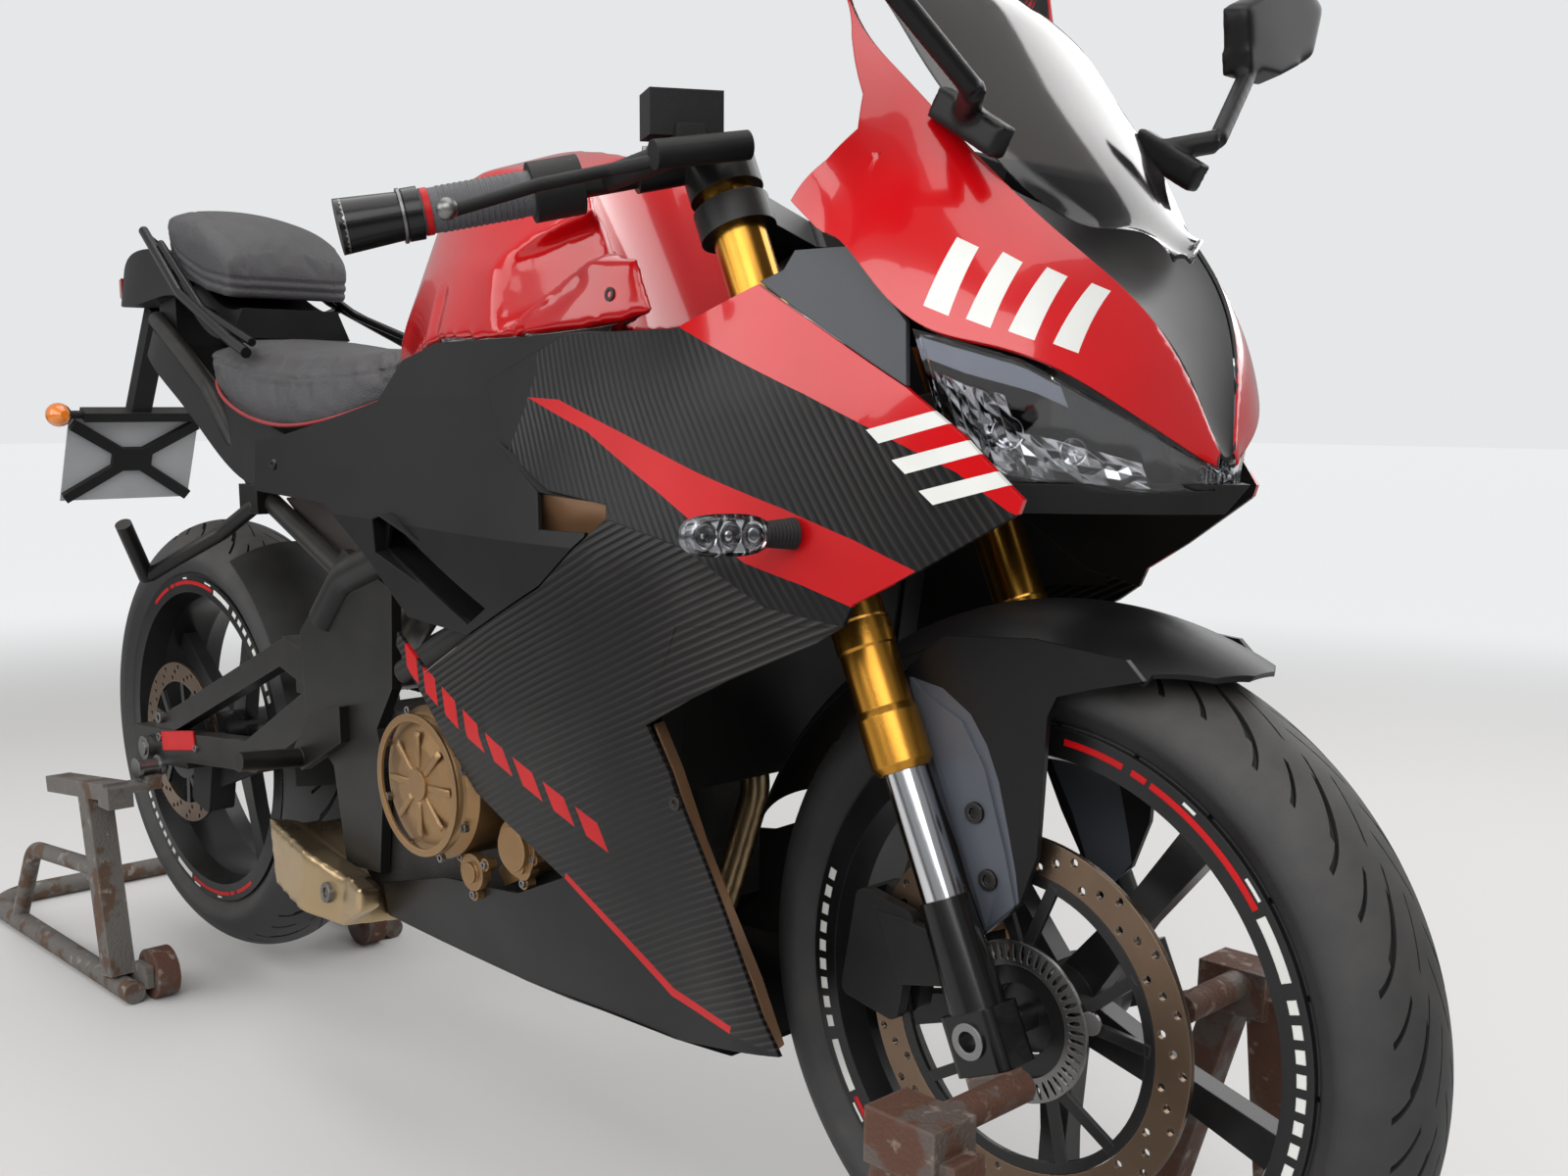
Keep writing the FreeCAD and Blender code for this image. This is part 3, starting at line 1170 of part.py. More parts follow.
# Exhaust: collector under the engine into a short slash-cut silencer on the right
silencer = loft([
    section(-107, [(-44, 222), (-44, 252), (-124, 260), (-148, 290), (-176, 290), (-182, 238)]),
    section(-190, [(-34, 212), (-34, 280), (-124, 282), (-148, 302), (-180, 304), (-188, 236)]),
    section(-330, [(-70, 236), (-70, 308), (-120, 312), (-140, 316), (-158, 318), (-166, 256)]),
], True)
silencer_nose = loft([
    section(-106.5, [(-153, 244), (-153, 290), (-176, 296), (-184, 240)]),
    section(-62, [(-160, 268), (-160, 286), (-188, 292), (-189, 266)]),
], True)
slash = side_prism([(-250, 200), (-345, 200), (-345, 340), (-322, 340)], -260, 0)
collector = bar(V(-109, -62, 236), V(196, -56, 236), 15)
headers = [tube([V(150, -56, 238), V(262, -30 + 36 * side, 242), V(292, 52 * side, 430),
                 V(228, 52 * side, 560)], 15, 60)
           for side in (-1, 1)]
feature("exhaust", joined(silencer.cut(slash), silencer_nose, collector, *headers).cut([engine, frame]))

# Belly pan between the lower fairings
belly = loft([section(x, [(-half, edge), (-half * 0.6, low), (half * 0.6, low), (half, edge),
                          (half - 5, edge),
                          (half * 0.6 - 3, low + 4), (3 - half * 0.6, low + 4), (5 - half, edge)])
              for x, half, edge, low in ((-104, 126, 239.7, 206), (162, 136, 239.7, 206),
                                          (403, 148, 254.7, 224), (534, 155, 284.7, 262))], True)
belly = belly.cut(disc(size("front_tyre_radius") + 14, -300, 300, FRONT_HUB))
feature("belly_pan", belly)

# Footrest hangers and pegs
rider_hanger = side_prism([(-150, 470), (-220, 452), (-262, 400), (-240, 384), (-150, 430)], -152,
                          -PLATE_Y - 12)
rider_peg = bar(V(-244, -152, 398), V(-244, -226, 404), 11)
rear_hanger = tube([V(-372, -124, 676), V(-440, -136, 640), V(-548, -182, 584)], 9, 40)
rear_peg = bar(V(-552, -184, 580), V(-522, -222, 650), 10)
hanger_foot = Part.makeBox(44, 24, 34, V(-398, -132, 666))
passenger = joined(rear_hanger, rear_peg, hanger_foot).cut([rear_rail(-1), tail])
rider = joined(rider_hanger, rider_peg)
feature("footrests", Part.makeCompound([rider, mirrored(rider), passenger, mirrored(passenger)]))

# Rear brake caliper below the swingarm, with the torque arm that holds it
CALIPER_BACK = -14
rear_caliper = caliper(size("rear_disc_radius"), REAR_DISC_Y, CALIPER_BACK, 50, -ARM_Y + 13.3, -73)
rear_caliper = rear_caliper.cut(disc(size("rear_disc_radius") + 5, -REAR_DISC_Y - 7.3,
                                     -REAR_DISC_Y + 7.3))
torque_arm = box_bar(V(119, -92, -30), V(250, -92, 18), 8, 22)
torque_eye = disc(13, -ARM_Y + 13, -86, V(250, 0, 20))
rear_caliper = joined(rear_caliper, torque_arm, torque_eye)
rear_caliper.translate(REAR_HUB)
feature("rear_caliper", rear_caliper)

# Side stand folded up along the left, in the frame of its slanted pivot
leg_end = V(-206, 0, 22)
side_stand = joined(disc(18, -STAND_EYE, STAND_EYE), bar(V(-8, 0, 0), leg_end, 9),
                    box_bar(leg_end + V(10, 0, -6), leg_end + V(-44, 0, -12), 26, 8))
side_stand = side_stand.cut(disc(6 + size("running_gap"), -STAND_EYE, STAND_EYE))
feature("side_stand", side_stand, AT_STAND)

# Rear paddock stand: floor rails, uprights, lifting arms under the spools and a cross handle
STAND_Y = size("stand_half_width")
STAND_R = size("stand_tube_radius")
BOX = size("stand_box")
REACH = size("stand_reach")


def rear_stand_side(side):
    y = side * STAND_Y
    upright = box_bar(V(-690, y, 30), V(-730, y, 284), BOX, BOX)
    arm = box_bar(V(-858, y, 268), V(-655, y, 292), BOX, BOX - 12)
    brace = tube([V(-716, y, 170), V(-976, y, 146), V(-1060, y, STAND_R + 6)], STAND_R - 3, 50)
    rest_z = SPOOL.z - size("spool_radius") + 4 - GAP
    inner = SPOOL_FACE + 8
    outer = SPOOL_FACE + 28
    shelf = Part.makeBox(34, STAND_Y - BOX / 2 + 2 - inner, 10, V(SPOOL.x - 17, inner, rest_z - 18))
    lip = Part.makeBox(34, outer - inner, 12, V(SPOOL.x - 17, inner, rest_z - 12))
    post = Part.makeBox(34, BOX, rest_z - 278, V(SPOOL.x - 17, STAND_Y - BOX / 2, 270))
    carrier = side_prism([(-684, 10), (-632, 20), (-632, 50), (-670, 50), (-720, 30)], STAND_Y - 24,
                         STAND_Y - 14)
    pin = disc(6, STAND_Y - 62, STAND_Y - 14, ROLLER_AT)
    cradle = joined(shelf, lip, post, carrier, pin)
    if side < 0:
        cradle = mirrored(cradle)
    return joined(upright, arm, brace, cradle)


ROLLER = size("roller_radius")
ROLLER_AT = V(-650, 0, ROLLER)
rail = tube([V(-640, -STAND_Y, STAND_R), V(-REACH + STAND_R, -STAND_Y, STAND_R),
             V(-REACH + STAND_R, STAND_Y, STAND_R), V(-640, STAND_Y, STAND_R)], STAND_R, 70)
feature("rear_stand", joined(rail, rear_stand_side(-1), rear_stand_side(1)))
roller = ring(ROLLER, 6 + size("running_gap"), -STAND_Y + 25, -STAND_Y + 55, ROLLER_AT)
feature("stand_rollers", both(roller))

# Front stand: pads under the fork feet on sleeves, legs to floor rails and a cross handle ahead
SLEEVE_R = 12.5
SLEEVE_START = 108
FRONT_Y = size("front_stand_half_width")
sleeve_at = AT_FORK.multVec(V(24, 0, FOOT_LOW - 1 - SLEEVE_R))
sleeve = bar(V(sleeve_at.x, -SLEEVE_START, sleeve_at.z), V(sleeve_at.x, -FRONT_Y - 18, sleeve_at.z),
             SLEEVE_R)
saddle = Part.makeBox(44, 14, 9, V(-14, -SLEEVE_START - 14, FOOT_LOW - GAP - 9))
saddle.Placement = AT_FORK
block = box_bar(V(sleeve_at.x - 36, -FRONT_Y, sleeve_at.z - 7),
                V(sleeve_at.x + 26, -FRONT_Y, sleeve_at.z - 7), 44, 41)
leg_back = box_bar(V(sleeve_at.x - 14, -FRONT_Y, sleeve_at.z - 10), V(sleeve_at.x - 88, -FRONT_Y, 22),
                   BOX - 4, BOX - 4)
leg_front = box_bar(V(sleeve_at.x + 22, -FRONT_Y, sleeve_at.z - 10), V(sleeve_at.x + 54, -FRONT_Y, 20),
                    BOX - 2, BOX - 2)
front_side = joined(saddle, sleeve, block, leg_back, leg_front)
front_rail = tube([V(590, -FRONT_Y, STAND_R), V(REACH - STAND_R, -FRONT_Y, STAND_R),
                   V(REACH - STAND_R, FRONT_Y, STAND_R), V(590, FRONT_Y, STAND_R)], STAND_R, 70)
feature("front_stand", joined(front_rail, front_side, mirrored(front_side)))

doc.recompute()

# Every piece is checked before anything is written
faults = [item.Name for item in doc.Objects if "Invalid" in item.State or "Error" in item.State]
for item in NODES:
    shape = item.Shape
    if shape.isNull() or not shape.isValid() or shape.Volume <= 0:
        faults.append(item.Label)
if faults:
    raise RuntimeError("pieces with faults: " + ", ".join(faults))

os.makedirs("parts", exist_ok=True)
for item in NODES:
    item.Shape.exportStep("parts/%s.step" % item.Label)
print("%d nodes" % len(NODES))
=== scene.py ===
# %% [markdown]
# The object is a small sport bike that stands on two paddock stands: a rusty one under the
# front axle and a grey one on rollers under the rear wheel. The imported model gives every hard
# piece in its right place. This lesson keeps those pieces, gives them real finishes, and
# replaces the few that need more shape: tyres, discs, seats, chain and painted panels.
# Loading the frame first means that every later step can ask it where a piece is.

# %% Load the frame
import json
import math
import bmesh
import bpy
from mathutils import Matrix, Vector

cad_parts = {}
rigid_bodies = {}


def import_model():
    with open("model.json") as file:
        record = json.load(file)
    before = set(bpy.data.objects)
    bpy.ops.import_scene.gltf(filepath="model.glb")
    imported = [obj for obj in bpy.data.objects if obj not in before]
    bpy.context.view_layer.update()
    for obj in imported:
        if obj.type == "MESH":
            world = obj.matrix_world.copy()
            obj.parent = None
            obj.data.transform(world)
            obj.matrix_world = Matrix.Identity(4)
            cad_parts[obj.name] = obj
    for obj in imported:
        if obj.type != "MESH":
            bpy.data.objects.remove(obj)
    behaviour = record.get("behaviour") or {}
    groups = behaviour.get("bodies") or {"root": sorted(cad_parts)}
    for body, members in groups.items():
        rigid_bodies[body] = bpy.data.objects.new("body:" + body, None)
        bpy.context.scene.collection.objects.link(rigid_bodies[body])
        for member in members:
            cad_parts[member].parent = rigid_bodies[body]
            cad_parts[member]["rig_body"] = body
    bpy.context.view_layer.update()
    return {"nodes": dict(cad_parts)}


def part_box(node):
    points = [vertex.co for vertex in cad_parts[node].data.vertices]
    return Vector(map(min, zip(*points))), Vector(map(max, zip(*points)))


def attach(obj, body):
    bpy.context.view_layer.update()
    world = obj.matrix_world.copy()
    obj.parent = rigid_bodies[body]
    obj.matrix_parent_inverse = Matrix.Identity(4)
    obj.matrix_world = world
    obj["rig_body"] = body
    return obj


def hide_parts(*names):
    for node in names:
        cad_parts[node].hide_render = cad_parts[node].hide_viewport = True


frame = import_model()
NODES = frame["nodes"]
FRONT_AXLE = Vector((0.691, 0.0, 0.336))
REAR_AXLE = Vector((-0.691, 0.0, 0.336))


def keep_mesh(bm, name):
    """Turn a finished bmesh into a linked object at the origin."""
    mesh = bpy.data.meshes.new(name)
    bm.to_mesh(mesh)
    bm.free()
    piece = bpy.data.objects.new(name, mesh)
    bpy.context.scene.collection.objects.link(piece)
    return piece


def metres(x, y, z):
    """A place given in millimetres."""
    return Vector((x / 1000.0, y / 1000.0, z / 1000.0))


def join_mesh(bm, other):
    """Add another bmesh to this one and let it go."""
    holder = bpy.data.meshes.new("holder")
    other.to_mesh(holder)
    other.free()
    bm.from_mesh(holder)
    bpy.data.meshes.remove(holder)

# %% [markdown]
# The photograph was taken from the front right, at about the height of the mirrors and rather
# near. A near camera makes the front wheel look large, so its place matters more than its
# lens. It could be found by eye, but here it comes from matching points of the bike, and the
# shift stands for the crop of the picture.

# %% Camera
EYE = Vector((1.3676, -1.0040, 0.7948))
LOOK = Vector((-0.72009, 0.66794, -0.18793))
RIGHT = Vector((0.67974, 0.73345, 0.00222))
LENS, SENSOR = 36.47, 36.0
SHIFT_X, SHIFT_Y = 0.0443, 0.0757
camera_data = bpy.data.cameras.new("photo_view")
camera_data.lens = LENS
camera_data.sensor_width = SENSOR
camera_data.shift_x, camera_data.shift_y = SHIFT_X, SHIFT_Y
camera = bpy.data.objects.new("photo_view", camera_data)
bpy.context.scene.collection.objects.link(camera)
up = RIGHT.cross(LOOK).normalized()
side = LOOK.cross(up).normalized()
turn = Matrix((side, up, -LOOK.normalized())).transposed()
camera.matrix_world = Matrix.Translation(EYE) @ turn.to_4x4()
bpy.context.scene.camera = camera
bpy.context.scene.view_settings.view_transform = "Standard"
print("camera at", tuple(EYE))

# %% [markdown]
# Every finish on a used bike has the same three small effects: an uneven fine surface, edges
# that are a little round and rubbed pale, and dust that lies on what faces up. Each effect
# could be drawn again in every material. A node group holds it once, with its sizes as inputs,
# so that a change in one place reaches the whole bike.

# %% Shared effects
def shader_of(material):
    """The material's tree and its main shader."""
    material.use_nodes = True
    tree = material.node_tree
    return tree, tree.nodes["Principled BSDF"]


def new_group(name, inputs, outputs):
    """A node group with its named sockets, and its two end nodes."""
    group = bpy.data.node_groups.new(name, "ShaderNodeTree")
    for label, value in inputs:
        socket = group.interface.new_socket(label, in_out="INPUT", socket_type="NodeSocketFloat")
        socket.default_value = value
    for label, kind in outputs:
        group.interface.new_socket(label, in_out="OUTPUT", socket_type=kind)
    return group, group.nodes.new("NodeGroupInput"), group.nodes.new("NodeGroupOutput")


def add_node(tree, kind, **settings):
    """A new node with some of its settings made."""
    node = tree.nodes.new(kind)
    for key, value in settings.items():
        setattr(node, key, value)
    return node


def noise(tree, coords, scale, detail=3.0):
    """A noise texture on the given coordinates, scale a number or a socket."""
    node = add_node(tree, "ShaderNodeTexNoise")
    node.inputs["Detail"].default_value = detail
    tree.links.new(coords, node.inputs["Vector"])
    if isinstance(scale, (int, float)):
        node.inputs["Scale"].default_value = scale
    else:
        tree.links.new(scale, node.inputs["Scale"])
    return node.outputs["Fac"]


def math_node(tree, operation, first, second=None, clamp=False):
    """A math node; each input is a number or a socket."""
    node = add_node(tree, "ShaderNodeMath", operation=operation, use_clamp=clamp)
    for slot_number, value in enumerate((first, second)):
        if value is None:
            continue
        if isinstance(value, (int, float)):
            node.inputs[slot_number].default_value = value
        else:
            tree.links.new(value, node.inputs[slot_number])
    return node.outputs["Value"]


def grain_group():
    """Uneven fine surface with slightly rounded edges."""
    group, start, end = new_group(
        "surface_grain", [("Scale", 900.0), ("Depth", 0.0002), ("Edge", 0.0012)],
        [("Patches", "NodeSocketFloat"), ("Speckle", "NodeSocketFloat"),
         ("Normal", "NodeSocketVector")])
    where = add_node(group, "ShaderNodeTexCoord").outputs["Object"]
    patches = noise(group, where, 9.0, 4.0)
    speckle = noise(group, where, start.outputs["Scale"], 2.0)
    rounded = add_node(group, "ShaderNodeBevel", samples=3)
    group.links.new(start.outputs["Edge"], rounded.inputs["Radius"])
    bump = add_node(group, "ShaderNodeBump")
    group.links.new(start.outputs["Depth"], bump.inputs["Distance"])
    group.links.new(speckle, bump.inputs["Height"])
    group.links.new(rounded.outputs["Normal"], bump.inputs["Normal"])
    group.links.new(patches, end.inputs["Patches"])
    group.links.new(speckle, end.inputs["Speckle"])
    group.links.new(bump.outputs["Normal"], end.inputs["Normal"])
    return group


def wear_group():
    """Mask of rubbed edges, broken up by noise."""
    group, start, end = new_group(
        "edge_wear", [("Width", 0.003), ("Amount", 0.5)], [("Mask", "NodeSocketFloat")])
    where = add_node(group, "ShaderNodeTexCoord").outputs["Object"]
    broken = noise(group, where, 45.0, 5.0)
    rounded = add_node(group, "ShaderNodeBevel", samples=3)
    group.links.new(start.outputs["Width"], rounded.inputs["Radius"])
    flat = add_node(group, "ShaderNodeNewGeometry").outputs["Normal"]
    likeness = add_node(group, "ShaderNodeVectorMath", operation="DOT_PRODUCT")
    group.links.new(rounded.outputs["Normal"], likeness.inputs[0])
    group.links.new(flat, likeness.inputs[1])
    edge = math_node(group, "SUBTRACT", 1.0, likeness.outputs["Value"])
    edge = math_node(group, "MULTIPLY", edge, 7.0, True)
    edge = math_node(group, "MULTIPLY", edge, broken)
    edge = math_node(group, "MULTIPLY", edge, start.outputs["Amount"], True)
    group.links.new(edge, end.inputs["Mask"])
    return group


def dust_group():
    """Mask of dust on what faces up."""
    group, start, end = new_group("settled_dust", [("Amount", 0.3)],
                                  [("Mask", "NodeSocketFloat")])
    where = add_node(group, "ShaderNodeTexCoord").outputs["Object"]
    cloud = noise(group, where, 30.0, 6.0)
    facing = add_node(group, "ShaderNodeNewGeometry").outputs["Normal"]
    split = add_node(group, "ShaderNodeSeparateXYZ")
    group.links.new(facing, split.inputs[0])
    lift = math_node(group, "MULTIPLY_ADD", split.outputs["Z"], 0.7)
    lift.node.inputs[2].default_value = 0.25
    mask = math_node(group, "MULTIPLY", math_node(group, "MAXIMUM", lift, 0.0), cloud)
    mask = math_node(group, "MULTIPLY", mask, start.outputs["Amount"], True)
    group.links.new(mask, end.inputs["Mask"])
    return group


GRAIN, WEAR, DUST = grain_group(), wear_group(), dust_group()
print("groups", GRAIN.name, WEAR.name, DUST.name)

# %% [markdown]
# Most of the bike is one of a few kinds of surface: clear-coated paint, satin paint, moulded
# plastic, cast metal, turned steel. They differ only in a few numbers, so one function builds
# them all from a table row. The even numbers (metal, coat) are set on the shader itself, and
# only what changes over the surface is wired to it.

# %% A finish from a few numbers
DUST_COLOUR = (0.34, 0.31, 0.27, 1.0)


def display(red, green, blue):
    """A colour as a screen shows it, 0 to 255, as the linear colour a shader wants."""
    values = []
    for part in (red, green, blue):
        part = part / 255.0
        values.append(part / 12.92 if part < 0.0404 else ((part + 0.055) / 1.055) ** 2.4)
    return (*values, 1.0)


def blend_colour(tree, mask, first, second):
    """Mix two colours or colour sockets by a mask."""
    node = add_node(tree, "ShaderNodeMix", data_type="RGBA")
    tree.links.new(mask, node.inputs[0])
    for slot_number, value in ((6, first), (7, second)):
        if isinstance(value, tuple):
            node.inputs[slot_number].default_value = value
        else:
            tree.links.new(value, node.inputs[slot_number])
    return node.outputs[2]


def use_group(tree, group, **values):
    """A shared effect placed in a tree with its own numbers."""
    node = add_node(tree, "ShaderNodeGroup", node_tree=group)
    for label, value in values.items():
        node.inputs[label].default_value = value
    return node.outputs


def spread(tree, source, low, high, start=0.3, stop=0.7):
    """Stretch a 0 to 1 pattern to a range of values."""
    node = add_node(tree, "ShaderNodeMapRange")
    tree.links.new(source, node.inputs["Value"])
    for label, value in (("From Min", start), ("From Max", stop), ("To Min", low),
                         ("To Max", high)):
        node.inputs[label].default_value = value
    return node.outputs["Result"]


def finish(name, colour, second, rough, metal=0.0, coat=0.0, grain=(900.0, 0.0001),
           edge=0.0012, worn=None, wear=0.0, dust=0.15, shine=0.5):
    """A worn surface: two near colours in patches, uneven gloss, rubbed edges and dust."""
    material = bpy.data.materials.new(name)
    tree, shader = shader_of(material)
    shader.inputs["Metallic"].default_value = metal
    shader.inputs["Coat Weight"].default_value = coat
    shader.inputs["Coat Roughness"].default_value = 0.04
    shader.inputs["Specular IOR Level"].default_value = shine
    fine = use_group(tree, GRAIN, Scale=grain[0], Depth=grain[1], Edge=edge)
    skin = blend_colour(tree, spread(tree, fine["Patches"], 0.0, 1.0), colour, second)
    if wear:
        rubbed = use_group(tree, WEAR, Width=edge * 2.0, Amount=wear)
        skin = blend_colour(tree, rubbed["Mask"], skin, worn)
    if dust:
        settled = use_group(tree, DUST, Amount=dust)
        skin = blend_colour(tree, settled["Mask"], skin, DUST_COLOUR)
    tree.links.new(skin, shader.inputs["Base Color"])
    gloss = spread(tree, fine["Patches"], rough[0], rough[1])
    tree.links.new(gloss, shader.inputs["Roughness"])
    tree.links.new(fine["Normal"], shader.inputs["Normal"])
    return material


FINISHES = {
    # name: colour, second colour, roughness from and to, then what differs
    "gloss_red": (display(196, 8, 16), display(180, 6, 14), (0.16, 0.22),
                  dict(coat=0.7, grain=(1500.0, 0.00002), dust=0.0, shine=0.3)),
    "gloss_black": (display(9, 9, 10), display(13, 13, 14), (0.18, 0.28),
                    dict(coat=0.15, dust=0.03, shine=0.3)),
    "satin_black": (display(14, 14, 15), display(19, 19, 21), (0.34, 0.44),
                    dict(grain=(1200.0, 0.00006), dust=0.03, shine=0.22)),
    "moulded_black": (display(17, 17, 18), display(24, 24, 25), (0.46, 0.58),
                      dict(grain=(1600.0, 0.0003), worn=display(70, 70, 72), wear=0.3, dust=0.1,
                           shine=0.25)),
    "slate_satin": (display(46, 49, 55), display(54, 57, 63), (0.36, 0.46),
                    dict(grain=(1400.0, 0.00008), dust=0.08)),
    "fender_satin": (display(66, 70, 78), display(74, 78, 86), (0.34, 0.44),
                     dict(grain=(1400.0, 0.00008), dust=0.06)),
    "frame_black": (display(14, 14, 15), display(22, 21, 21), (0.3, 0.44),
                    dict(worn=display(110, 108, 104), wear=0.35, dust=0.15, shine=0.3)),
    "engine_grey": (display(44, 44, 46), display(58, 56, 54), (0.45, 0.6),
                    dict(metal=0.6, grain=(500.0, 0.0006), worn=display(140, 136, 130),
                         wear=0.4, dust=0.4)),
    "bronze_cast": (display(158, 126, 88), display(140, 108, 72), (0.3, 0.42),
                    dict(metal=0.85, grain=(900.0, 0.0003), worn=display(206, 180, 140),
                         wear=0.5, dust=0.1)),
    "gold_anodised": (display(206, 150, 62), display(190, 134, 50), (0.2, 0.3),
                      dict(metal=1.0, grain=(1200.0, 0.00005), worn=display(226, 196, 140),
                           wear=0.3, dust=0.06)),
    "polished_chrome": (display(215, 216, 218), display(196, 198, 202), (0.08, 0.16),
                        dict(metal=1.0, grain=(1500.0, 0.00002), dust=0.05)),
    "plain_steel": (display(140, 140, 142), display(112, 110, 108), (0.28, 0.42),
                    dict(metal=1.0, worn=display(190, 190, 188), wear=0.4, dust=0.2)),
    "dark_bolt": (display(42, 42, 44), display(56, 54, 52), (0.3, 0.45),
                  dict(metal=0.9, worn=display(120, 118, 116), wear=0.5)),
    "brown_steel": (display(122, 102, 84), display(100, 84, 70), (0.3, 0.42),
                    dict(metal=0.95, grain=(700.0, 0.0001), worn=display(170, 156, 140),
                         wear=0.5, dust=0.1)),
    "oiled_chain": (display(74, 64, 52), display(52, 46, 40), (0.35, 0.5),
                    dict(metal=0.9, worn=display(150, 138, 118), wear=0.6)),
    "silencer_champagne": (display(196, 172, 134), display(176, 152, 116), (0.24, 0.38),
                           dict(metal=1.0, grain=(600.0, 0.0001), worn=display(226, 212, 186),
                                wear=0.4, dust=0.15)),
    "dark_core": (display(12, 12, 13), display(20, 19, 19), (0.4, 0.55),
                  dict(dust=0.15, shine=0.25)),
    "rim_black": (display(13, 13, 14), display(20, 20, 22), (0.24, 0.34),
                  dict(grain=(1200.0, 0.00006), worn=display(90, 88, 86), wear=0.2, dust=0.06,
                       shine=0.35)),
    "soft_rubber": (display(72, 72, 76), display(82, 82, 86), (0.55, 0.68),
                    dict(grain=(700.0, 0.0006), dust=0.2)),
    "black_rubber": (display(18, 18, 19), display(26, 26, 27), (0.6, 0.75),
                     dict(grain=(900.0, 0.0004), dust=0.12, shine=0.25)),
    "plate_grey": (display(176, 178, 180), display(162, 164, 167), (0.34, 0.5),
                   dict(grain=(900.0, 0.0001), worn=display(120, 118, 114), wear=0.4)),
    "decal_white": (display(226, 226, 222), display(206, 206, 202), (0.35, 0.5),
                    dict(grain=(900.0, 0.00006), dust=0.2)),
    "decal_red": (display(190, 14, 20), display(172, 10, 16), (0.32, 0.44),
                  dict(grain=(900.0, 0.00006), dust=0.0, shine=0.25)),
    "amber_lens": (display(214, 116, 28), display(226, 130, 40), (0.12, 0.2),
                   dict(coat=0.8, dust=0.05)),
    "red_lens": (display(130, 10, 12), display(160, 14, 16), (0.12, 0.2),
                 dict(coat=0.8, dust=0.05)),
}
PAINT = {}
for name, (colour, second, rough, rest) in FINISHES.items():
    PAINT[name] = finish(name, colour, second, rough, **rest)
print("finishes", len(PAINT))

# %% [markdown]
# Some surfaces need more than the shared recipe. The dark film on the side panels is embossed
# with fine slanting ribs that catch the light one by one. They could be cut as geometry, but
# there are hundreds, each thinner than a millimetre, so a sawtooth in object space drives the
# bump and a painted crest highlight. Rust gets three layers: paint, brown rust, pale bare spots.

# %% Ribbed film, rust and clear parts
RIB_PITCH = 0.0064


# The second film colour is a painted highlight that the rib crests take.
FILM_DARK, FILM_RIDGE_HIGHLIGHT = display(10, 10, 11), display(56, 52, 50)


def ribbed_film(name, angle, fade):
    """Dark film with fine ribs along an angle in the side view, a painted highlight on their
    crests, fading where noise says so.
    """
    material = bpy.data.materials.new(name)
    tree, shader = shader_of(material)
    fine = use_group(tree, GRAIN, Scale=1500.0, Depth=0.00004, Edge=0.0015)
    where = add_node(tree, "ShaderNodeTexCoord").outputs["Object"]
    along = add_node(tree, "ShaderNodeVectorMath", operation="DOT_PRODUCT")
    tree.links.new(where, along.inputs[0])
    across = math.radians(angle + 90.0)
    along.inputs[1].default_value = (math.cos(across) / RIB_PITCH, 0.0,
                                     math.sin(across) / RIB_PITCH)
    waviness = noise(tree, where, 5.0, 1.0)
    sway = math_node(tree, "MULTIPLY", waviness, 1.6)
    phase = math_node(tree, "ADD", along.outputs["Value"], sway)
    ramp = math_node(tree, "PINGPONG", phase, 0.5)
    height = math_node(tree, "MULTIPLY", ramp, 2.0)
    patch = spread(tree, noise(tree, where, fade, 2.0), 0.15, 1.0, 0.35, 0.6)
    # A lighter tone on each rib's crest: a painted highlight, faded in noise patches.
    tone = math_node(tree, "MULTIPLY", spread(tree, height, 0.0, 1.0, 0.45, 0.95), patch)
    skin = blend_colour(tree, tone, FILM_DARK, FILM_RIDGE_HIGHLIGHT)
    tree.links.new(skin, shader.inputs["Base Color"])
    bump = add_node(tree, "ShaderNodeBump")
    bump.inputs["Distance"].default_value = 0.0009
    bump.inputs["Strength"].default_value = 0.7
    tree.links.new(math_node(tree, "MULTIPLY", height, patch), bump.inputs["Height"])
    tree.links.new(fine["Normal"], bump.inputs["Normal"])
    tree.links.new(bump.outputs["Normal"], shader.inputs["Normal"])
    tree.links.new(spread(tree, fine["Patches"], 0.30, 0.40), shader.inputs["Roughness"])
    shader.inputs["Specular IOR Level"].default_value = 0.25
    return material


PAINT["side_film"] = ribbed_film("side_film", -56.0, 4.0)
PAINT["lower_film"] = ribbed_film("lower_film", 24.0, 3.0)


def rusty(name, paint, rust, bare, amount):
    """Old paint that rust has broken through, with bare worn spots."""
    material = bpy.data.materials.new(name)
    tree, shader = shader_of(material)
    fine = use_group(tree, GRAIN, Scale=330.0, Depth=0.0012, Edge=0.002)
    where = add_node(tree, "ShaderNodeTexCoord").outputs["Object"]
    blotch = noise(tree, where, 26.0, 8.0)
    broken = spread(tree, blotch, 0.0, 1.0, 0.5 - amount, 0.56 - amount)
    skin = blend_colour(tree, broken, paint, rust)
    spots = spread(tree, noise(tree, where, 60.0, 6.0), 0.0, 0.8, 0.6, 0.68)
    skin = blend_colour(tree, spots, skin, bare)
    rubbed = use_group(tree, WEAR, Width=0.004, Amount=0.8)
    skin = blend_colour(tree, rubbed["Mask"], skin, bare)
    tree.links.new(skin, shader.inputs["Base Color"])
    tree.links.new(spread(tree, blotch, 0.55, 0.85), shader.inputs["Roughness"])
    tree.links.new(fine["Normal"], shader.inputs["Normal"])
    shader.inputs["Metallic"].default_value = 0.15
    return material


PAINT["rust_brown"] = rusty("rust_brown", display(86, 74, 68), display(84, 54, 40),
                            display(132, 118, 108), 0.06)
PAINT["rear_stand"] = rusty("rear_stand", display(96, 92, 88), display(86, 66, 52),
                            display(134, 128, 122), -0.03)


